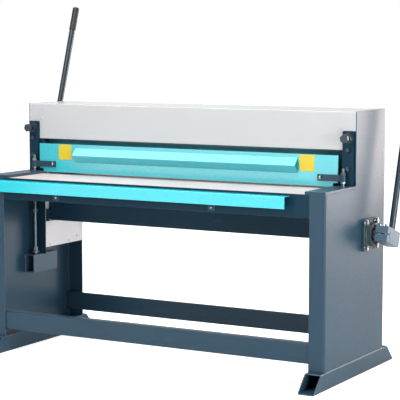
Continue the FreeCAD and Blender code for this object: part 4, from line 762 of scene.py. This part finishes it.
def makeGuideBolts():
    look = guideBolt
    bolts = newShape()
    nuts = newShape()
    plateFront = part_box("guide_plates")[0].y
    for low, high in solidBoxes("guide_bolts"):
        place = middle(low, high, 1, low.y)
        reach = low.y - high.y
        seat = low.y - plateFront
        if -reach > look["longerThan"]:
            turn = facing("-Y", place, guideBoltTurn["right" if place.x > 0 else "left"])
            radius, wall = look["shank"] / 2, look["washerWall"]
            absorb(bolts, hexBlock(look["flats"], -look["head"], 0), turn)
            absorb(bolts, thread(radius, look["pitch"], reach, -look["head"]), turn)
            absorb(nuts, washer(radius, look["washer"] / 2, seat, seat + wall), turn)
            absorb(nuts, nut(look, seat + wall), turn)
        else:
            turn = facing("-Y", place)
            absorb(bolts, hexBlock(look["screwFlats"], seat, 0, (False, True)), turn)
            absorb(bolts, rod(look["screw"] / 2, reach, seat), turn)
    finishPiece("guide_bolts", bolts, slotName="guide_steel")
    finishPiece("guide_bolts", nuts, "guideNuts", "guide_steel")


rodLook = inMetres(diameter=13, pitch=1.75, topThread=62, lowThread=80, inset=0.5, overlap=0.2, tip=0.6,
                   neckIn=0.9, faceIn=1.2)


def makeRods():
    look = rodLook
    shape = newShape()
    radius = look["diameter"] / 2
    neck, face, tip = radius - look["neckIn"], radius - look["faceIn"], look["tip"]
    steps = roundSteps["rodTip"]
    for low, high in solidBoxes("hold_down_rods"):
        length = high.z - low.z
        turn = facing("Z", middle(low, high, 2, low.z))
        plainLow, plainHigh = look["lowThread"], length - look["topThread"]
        tipLow = length - tip
        absorb(shape, thread(radius, look["pitch"], look["inset"], plainLow), turn)
        absorb(shape, rod(radius, plainLow - look["overlap"], plainHigh + look["overlap"]), turn)
        absorb(shape, thread(radius, look["pitch"], plainHigh, length - look["inset"]), turn)
        absorb(shape, turned([(0, 0), (face, 0), (neck, tip), (0, tip)], steps), turn)
        absorb(shape, turned([(0, tipLow), (neck, tipLow), (face, length), (0, length)], steps), turn)
    finishPiece("hold_down_rods", shape)


rodNut = inMetres(flats=18, bore=12, washer=26, washerWall=3, stop=36, stopSoft=1, stopRim=3.2, stopSlope=0.8,
                  stopTop=4, collar=4.5, stopWiderThan=30, washerWiderThan=24)
rodNutTurn = {"least": 10, "perMetre": 700}  # each nut stands turned by its height


def makeRodNuts():
    look = rodNut
    flats, bore, stop, top = look["flats"], look["bore"] / 2, look["stop"] / 2, look["stopTop"]
    shape = newShape()
    for low, high in solidBoxes("rod_nuts"):
        width, height = high.x - low.x, high.z - low.z
        turn = facing("Z", middle(low, high, 2, low.z), rodNutTurn["least"] + rodNutTurn["perMetre"] * low.z)
        nutLow, nutHigh = 0, height
        if width > look["stopWiderThan"]:  # the flanged stop collar over the bracket
            absorb(shape, turned([
                (bore, 0), (stop - look["stopSoft"], 0), (stop, look["stopSoft"]), (stop, look["stopRim"]),
                (stop - look["stopSlope"], top), (flats / 2, top), (flats / 2, look["collar"]),
                (bore, look["collar"]), (bore, 0),
            ]), turn)
            nutLow = top
        elif width > look["washerWiderThan"]:  # washer under the spring, with its nut below
            nutHigh = height - look["washerWall"]
            absorb(shape, washer(bore, look["washer"] / 2, nutHigh, height), turn)
        absorb(shape, hexBlock(flats, nutLow, nutHigh), turn)
    finishPiece("rod_nuts", shape)


smallScrews = {
    "sheet_screws": inMetres(head=10, height=2.5, key=3.2, shank=5),
    "edge_strip_screws": inMetres(head=11, height=4, key=4.2, shank=6),
    "arm_screws": inMetres(head=14, height=5, key=4.8, shank=8),
}
smallHead = {"dome": 0.25, "depth": 0.55, "overlap": 0.1 * mm, "shankSoft": 0.4 * mm}
columnMiddle = 0.1  # sheet screws behind this Y face back


def oddAxis(size):
    spread = [abs(size[axis] - size[axis - 1]) + abs(size[axis] - size[axis - 2]) for axis in range(3)]
    return spread.index(max(spread))


def headSide(node, centre, axis):
    if axis == 0:
        return -1 if centre.x > 0 else 1
    return 1 if node == "sheet_screws" and centre.y > columnMiddle else -1


def makeSmallScrews():
    for node, look in smallScrews.items():
        shape = newShape()
        painted = newShape()  # those of the cover, sprayed with it
        for low, high in solidBoxes(node):
            size = high - low
            axis = oddAxis(size)
            out = headSide(node, (low + high) / 2, axis)
            level = high[axis] if out > 0 else low[axis]
            centre = middle(low, high, axis, level - out * look["height"])
            kept = painted if node == "sheet_screws" and axis == 1 else shape
            if kept is painted and centre.y < 0:
                centre.y -= cover["forward"]
            turn = facing(("" if out > 0 else "-") + "XYZ"[axis], centre)
            dome = look["height"] * smallHead["dome"]
            head = socketHead(look["head"] / 2, look["height"] - dome, look["key"] / 2,
                              look["height"] * smallHead["depth"], dome)
            absorb(kept, head, turn)
            absorb(kept, rod(look["shank"] / 2, look["height"] - size[axis], smallHead["overlap"],
                             smallHead["shankSoft"]), turn)
        finishPiece(node, shape)
        if painted.verts:
            finishPiece(node, painted, "coverScrews", "cover_paint")


clampScrew = inMetres(head=12.8, height=8, key=6, keyDepth=4, shank=8, overlap=0.1)


def makeClampScrews():
    look = clampScrew
    shape = newShape()
    for low, high in solidBoxes("clamp_screws"):
        length = (high.z - low.z - look["head"] * math.sin(leverLean)) / math.cos(leverLean)
        turn = facing("lever", (low + high) / 2)
        neck = length / 2 - look["height"]
        head = socketHead(look["head"] / 2, look["height"], look["key"] / 2, look["keyDepth"])
        absorb(shape, head, turn @ Matrix.Translation((0, 0, neck)))
        absorb(shape, rod(look["shank"] / 2, -length / 2, neck + look["overlap"]), turn)
    finishPiece("clamp_screws", shape)


knifeScrew = inMetres(head=19, rim=0.4, key=6, keyDepth=3, shank=10, cone=5, pitch=1.5, flats=17, nut=8,
                      tip=2)


def makeKnifeScrews():
    look = knifeScrew
    radius, head, rim, cone = look["shank"] / 2, look["head"] / 2, look["rim"], look["cone"]
    for node, out in {"lower_knife_screws": "Y", "upper_knife_screws": "-Y"}.items():
        shape = newShape()
        for low, high in solidBoxes(node):
            turn = facing(out, middle(low, high, 1, high.y if out == "Y" else low.y))
            reach = high.y - low.y
            absorb(shape, turned([(radius, -cone), (head, -rim)]), turn)
            flush = socketHead(head, rim, look["key"] / 2, look["keyDepth"])
            absorb(shape, flush, turn @ Matrix.Translation((0, 0, -rim)))
            absorb(shape, thread(radius, look["pitch"], -reach, -cone), turn)
            if out == "-Y":
                absorb(shape, nut(look, look["tip"] - reach), turn)
        finishPiece(node, shape)


frameBolts = {
    "side": inMetres(flats=18, head=7.5, shank=12),
    "table": inMetres(flats=12.8, head=5.5, shank=8),
}
sideBoltLength = 30 * mm


def makeFrameBolts():
    shape = newShape()
    for low, high in solidBoxes("frame_bolts"):
        axis, look, out = 2, frameBolts["table"], "-Z"
        if high.x - low.x > sideBoltLength:
            axis, look, out = 0, frameBolts["side"], "-X" if low.x > 0 else "X"
        turn = facing(out, middle(low, high, axis, low[axis] if out[0] == "-" else high[axis]))
        absorb(shape, hexBlock(look["flats"], -look["head"], 0, (False, True)), turn)
        absorb(shape, rod(look["shank"] / 2, low[axis] - high[axis], -look["head"]), turn)
    finishPiece("frame_bolts", shape)


pullRod = inMetres(diameter=12, pitch=1.75, flats=18, nut=9.6)


def nutLevels(node, middleX, flats):
    levels = {
        round(vertex.co.z, 5) for vertex in nodes[node].data.vertices
        if flats / 2 < abs(vertex.co.x - middleX) < flats
    }
    return sorted(levels)[0::2]


def makePullRods():
    look = pullRod
    shape = newShape()
    for low, high in solidBoxes("pull_rods"):
        place = middle(low, high, 2, low.z)
        turn = facing("Z", place)
        absorb(shape, thread(look["diameter"] / 2, look["pitch"], 0, high.z - low.z), turn)
        for level in nutLevels("pull_rods", place.x, look["flats"]):
            absorb(shape, nut(look, level - low.z), turn)
    finishPiece("pull_rods", shape)


makeBearingBolts()
makeGuideBolts()
makeRods()
makeRodNuts()
makeSmallScrews()
makeClampScrews()
makeKnifeScrews()
makeFrameBolts()
makePullRods()
print("screws and nuts made")

# Coil springs, each between the frame and what it moves

springs = {
    "hold_down": {"wire": 3 * mm, "turns": 22, "moves": "hold_down"},
    "return": {"wire": 4 * mm, "turns": 22, "moves": "knife_beam"},
}
coilSteps = {"round": 10, "turn": 24, "smooth": 60}


def coil(radius, wire, low, high, count):
    turn = newShape()
    bmesh.ops.create_circle(turn, segments=coilSteps["round"], radius=wire / 2, matrix=turns["Y"])
    bmesh.ops.translate(turn, verts=turn.verts, vec=(radius, 0, low + wire / 2))
    pitch = (high - low - wire) / count
    sweep(turn, turn.verts[:] + turn.edges[:], coilSteps["turn"], pitch)
    shape = stacked(turn, pitch, count)
    bmesh.ops.holes_fill(shape, edges=[edge for edge in shape.edges if edge.is_boundary], sides=0)
    return faceOutwards(shape)


def makeSprings():
    for kind, look in springs.items():
        for side in ("left", "right"):
            node = f"{side}_{kind}_spring"
            low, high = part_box(node)
            wire = look["wire"]
            place = middle(low, high, 2, 0)
            shape = coil((high.x - low.x - wire) / 2, wire, low.z, high.z, look["turns"])
            bmesh.ops.translate(shape, verts=shape.verts, vec=place)
            piece = addPiece(pieceName(node), shape, "frame", "spring_steel", coilSteps["smooth"])
            piece.parent = None
            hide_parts(node)
            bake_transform(piece, "frame", look["moves"], start=(place.x, place.y, high.z),
                     end=(place.x, place.y, low.z))
    print("springs wound")


makeSprings()

# Bearing housings with grease nipples, and their seals

housing = inMetres(half=65, wall=14, corner=14, rim=2.2, boss=48, throat=39.2, reach=32, root=7, lip=1)
housingSteps = {"corner": 8, "rim": 3}
housingCrown = [(-1.2, -3), (-2.2, -1), (-4, 0)]  # the boss's outer edge, from its radius and its reach
nipple = inMetres(radius=4, at=43, foot=6, top=0.4)
seal = inMetres(inner=28.4, outer=38.4, foot=6, lipIn=0.6, lipTop=2, rimIn=1, rimTop=3)


def flange(half, wall):
    plate = block(Vector((-half, -half, 0)), Vector((half, half, wall)))
    softenEdges(plate, housing["corner"], housingSteps["corner"], keep=lambda edge: span(edge, 2) > wall / 2)
    softenEdges(plate, housing["rim"], housingSteps["rim"],
                keep=lambda edge: min(vertex.co.z for vertex in edge.verts) > wall / 2)
    return plate


def bossProfile(boss, root, wall, reach, throat):
    profile = [(throat, wall / 2), (boss + root, wall / 2), (boss + root, wall)]
    profile += [(boss + across, wall + up) for up, across in quarterArc(root)[1:-1]]
    profile += [(boss + across * mm, reach + up * mm) for across, up in housingCrown]
    lip = housing["lip"]
    return profile + [(throat + lip, reach), (throat, reach - lip), (throat, wall / 2)]


def makeHousings():
    wall, reach = housing["wall"], housing["reach"]
    boss = bossProfile(housing["boss"], housing["root"], wall, reach, housing["throat"])
    stub, stubLow, stubHigh = nipple["radius"], reach - nipple["foot"], reach - nipple["top"]
    foot = reach - seal["foot"]
    sealProfile = [(seal["inner"], foot), (seal["inner"] + seal["lipIn"], reach - seal["lipTop"]),
                   (seal["outer"] - seal["rimIn"], reach - seal["rimTop"]), (seal["outer"], foot)]
    for node in ("left_bearing_housing", "right_bearing_housing"):
        side = 1 if node.startswith("right") else -1
        low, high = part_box(node)
        turn = facing("X" if side > 0 else "-X", middle(low, high, 0, low.x if side > 0 else high.x))
        shape = newShape()
        absorb(shape, flange(housing["half"], wall), turn)
        absorb(shape, turned(boss, roundSteps["boss"]), turn)
        at = Vector((-1, side, 0)).normalized() * nipple["at"]
        absorb(shape, turned([(0, stubLow), (stub, stubLow), (stub, stubHigh), (0, stubHigh)],
                             roundSteps["nipple"]), turn @ Matrix.Translation(at))
        finishPiece(node, shape)
        ring = newShape()
        absorb(ring, turned(sealProfile, roundSteps["seal"]), turn)
        addPiece(pieceName(node).replace("BearingHousing", "BearingSeal"), ring, "frame", "pad_rubber")
    print("bearing housings cast")


makeHousings()

# Grips on the levers, with a soft mouth, rings and a rounded end

grip = inMetres(radius=15.1, length=110.5, round=6, mouthIn=0.1, mouthDeep=0.3, mouthLip=0.6, rimIn=0.5,
                rimUp=0.8, plain=6, firstRing=12, ringPitch=9, ringDepth=0.7, ringLow=1, ringHigh=2.4,
                ringTop=3.4)
gripRings = 9
gripSmooth = 40


def gripProfile(inner):
    look = grip
    radius, foot = look["radius"], -look["length"]
    profile = [(inner + look["mouthIn"], foot + look["mouthDeep"]), (inner + look["mouthLip"], foot),
               (radius - look["rimIn"], foot), (radius, foot + look["rimUp"]), (radius, foot + look["plain"])]
    groove = radius - look["ringDepth"]
    for number in range(gripRings):
        level = foot + look["firstRing"] + number * look["ringPitch"]
        profile += [(radius, level), (groove, level + look["ringLow"]), (groove, level + look["ringHigh"]),
                    (radius, level + look["ringTop"])]
    return profile + [(radius - inwards, -down) for inwards, down in quarterArc(look["round"])] + [(0, 0)]


def makeGrips():
    shape = newShape()
    along = Vector((0, math.sin(leverLean), math.cos(leverLean)))
    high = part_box("grips")[1]
    tipZ = high.z - grip["radius"] * along.y
    for side, lever in ((-1, "left_lever"), (1, "right_lever")):
        leverLow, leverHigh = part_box(lever)
        inner = (leverHigh.x - leverLow.x) / 2
        start = Vector((side * (high.x - grip["radius"]), leverLow.y + inner * along.z,
                        leverLow.z + inner * along.y))
        tip = start + along * ((tipZ - start.z) / along.z)
        absorb(shape, turned(gripProfile(inner)), facing("lever", tip))
    finishPiece("grips", shape, smooth=gripSmooth)
    print("grips moulded")


makeGrips()

# Yellow films on the guard

film = inMetres(corner=4, edge=0.3, thin=0.5, near=0.01)


def makeFilms():
    shape = newShape()
    for low, high in solidBoxes("marker_plates"):
        part = block(low, high)
        softenEdges(part, film["corner"], cornerSteps, keep=lambda edge: span(edge, 1) > film["thin"])
        softenEdges(part, film["edge"], 1, keep=lambda edge: max(
            vertex.co.y for vertex in edge.verts) < low.y + film["near"])
        absorb(shape, part)
    finishPiece("marker_plates", shape)


makeFilms()

# Weld beads, painted over

weld = inMetres(radius=1.9, ripple=3.2, lip=6, footRoom=12, barRoom=4)
beadLook = {"sides": 8, "swell": 0.06, "ends": 0.55, "endShare": 0.001}


def bead(shape, start, end):
    start = Vector(start)
    run = Vector(end) - start
    count = max(4, round(run.length / weld["ripple"]))
    part = newShape()
    bmesh.ops.create_cone(part, cap_ends=True, segments=beadLook["sides"], radius1=weld["radius"],
                          radius2=weld["radius"], depth=1.0)
    long = [edge for edge in part.edges if span(edge, 2) > 0.5]
    bmesh.ops.subdivide_edges(part, edges=long, cuts=2 * count - 1, use_grid_fill=True)
    for vertex in part.verts:
        share = vertex.co.z + 0.5
        swell = 1 + beadLook["swell"] * math.sin(share * count * math.tau)
        if min(share, 1 - share) < beadLook["endShare"]:
            swell = beadLook["ends"]
        vertex.co.x *= swell
        vertex.co.y *= swell
        vertex.co.z = share * run.length
    turn = Matrix.Translation(start) @ run.to_track_quat("Z", "Y").to_matrix().to_4x4()
    absorb(shape, part, turn)


def makeWelds():
    shape = newShape()
    frameLow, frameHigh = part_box("right_side_frame")
    front, back = frameLow.y + weld["footRoom"], frameHigh.y - weld["footRoom"]
    for side in (-1, 1):
        inner = side * (frameHigh.x - weld["lip"])
        for x in (side * frameHigh.x, inner):
            bead(shape, (x, front, frameLow.z), (x, back, frameLow.z))
        for node in ("front_crossbar", "rear_crossbar"):
            low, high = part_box(node)
            for level in (low.z, high.z):
                bead(shape, (inner, low.y + weld["barRoom"], level), (inner, high.y - weld["barRoom"], level))
            hidden = high.y if node == "front_crossbar" else low.y
            bead(shape, (inner, hidden, low.z), (inner, hidden, high.z))
    addPiece("weldBeads", shape, "frame", "frame_paint")
    print("welds laid")


makeWelds()

# Stage, lights and camera

stage = {"half": 30.0, "cloud": 0.6, "tone": (0.88, 0.88, 0.88), "paler": (0.92, 0.92, 0.92), "rough": 0.9,
         "nearEdge": 1.3, "farEdge": 5.0, "lift": 0.68}  # far off it runs into white
world = {"front": 0.08, "back": 0.36, "seen": 1.0, "frontEdge": -0.3, "backEdge": 0.7}  # paler at the back
white = (1, 1, 1, 1)
lampWatts = 4  # of an area lamp, for each square metre and each unit of radiance
lamps = {
    "topSoftbox": {"place": (-0.4, -0.8, 4.0), "aim": (-0.2, -0.5, 0.0), "size": (5.0, 4.0), "radiance": 2.9},
    "topFrontSoftbox": {
        "place": (-0.3, -3.2, 3.6), "aim": (0.0, -0.2, 0.6), "size": (4.0, 2.0), "radiance": 1.2},
    "frontSoftbox": {
        "place": (-1.5, -4.0, 2.3), "aim": (0.1, 0.0, 0.95), "size": (2.6, 1.4), "radiance": 3.2},
    "frontStrip": {"place": (-1.7, -4.0, 0.6), "aim": (0.0, 0.0, 0.8), "size": (2.6, 0.6), "radiance": 0.4},
    "sideSoftbox": {
        "place": (3.1, 4.6, 1.5), "aim": (0.9, 0.0, 0.9), "size": (2.4, 2.6), "radiance": 7.3,
        "tint": (1.0, 0.90, 0.86)},
    "rightSoftbox": {"place": (4.3, -1.7, 1.1), "aim": (0.4, -0.1, 0.6), "size": (2.0, 1.8), "radiance": 9.5},
    "glossCard": {  # its pale streak shows in the light blue paint
        "place": (-1.7, -4.0, 0.42), "aim": (-1.7, 0.0, 0.42), "size": (2.9, 0.5), "radiance": 2.7,
        "glossOnly": True},
    "backCard": {  # seen along the cover's top
        "place": (-3.4, 6.0, 1.45), "aim": (-3.4, 0.0, 1.45), "size": (4.4, 1.3), "radiance": 0.45,
        "glossOnly": True},
}
view = {"place": (3.2036, -5.5596, 1.3541), "yaw": 29.581, "pitch": 6.087, "lens": 136.2, "sensor": 36.0}


def cameraSees(tree):
    return addNode(tree, "LightPath").outputs["Is Camera Ray"]


def makeStage():
    shape = bmesh.new()
    bmesh.ops.create_grid(shape, x_segments=1, y_segments=1, size=stage["half"])
    mesh = bpy.data.meshes.new("floor")
    shape.to_mesh(mesh)
    shape.free()
    material, tree, shader = newMaterial("paleFloor")
    away = addNode(tree, "VectorMath", {"Vector": objectPlace(tree)}, operation="LENGTH").outputs["Value"]
    fade = mapped(tree, away, stage["nearEdge"], stage["farEdge"], stage["lift"])
    feed(tree, shader, {
        "Base Color": cloudy(tree, stage["cloud"], stage["tone"], stage["paler"]),
        "Roughness": stage["rough"], "Emission Color": white,
        "Emission Strength": times(tree, fade, cameraSees(tree))})
    mesh.materials.append(material)
    addObject("floor", mesh)


def makeWorld():
    sky = bpy.data.worlds.new("softWhite")
    sky.use_nodes = True
    tree = sky.node_tree
    place = addNode(tree, "TexCoord").outputs["Generated"]
    depth = addNode(tree, "SeparateXYZ", {"Vector": place}).outputs["Y"]
    around = mapped(tree, depth, world["frontEdge"], world["backEdge"], world["front"], world["back"])
    strength = mapped(tree, cameraSees(tree), 0.0, 1.0, around, world["seen"])
    feed(tree, tree.nodes["Background"], {"Color": white, "Strength": strength})
    bpy.context.scene.world = sky


def makeLamps():
    for name, look in lamps.items():
        data = bpy.data.lights.new(name, "AREA")
        data.shape = "RECTANGLE"
        wide, high = look["size"]
        data.size, data.size_y = wide, high
        data.energy = look["radiance"] * lampWatts * wide * high
        data.color = look.get("tint", (1, 1, 1))
        lamp = addObject(name, data)
        lamp.location = look["place"]
        path = Vector(look["aim"]) - Vector(look["place"])
        lamp.rotation_euler = path.to_track_quat("-Z", "Y").to_euler()
        lamp.visible_camera = False
        lamp.visible_diffuse = not look.get("glossOnly", False)


def makeCamera():
    data = bpy.data.cameras.new("photoCamera")
    data.lens = view["lens"]
    data.sensor_width = view["sensor"]
    camera = addObject("photoCamera", data)
    camera.location = view["place"]
    camera.rotation_euler = (math.radians(90 - view["pitch"]), 0, math.radians(view["yaw"]))
    bpy.context.scene.camera = camera


makeStage()
makeWorld()
makeLamps()
makeCamera()
bpy.context.scene.view_settings.view_transform = "Standard"
print("stage, lights and camera set")
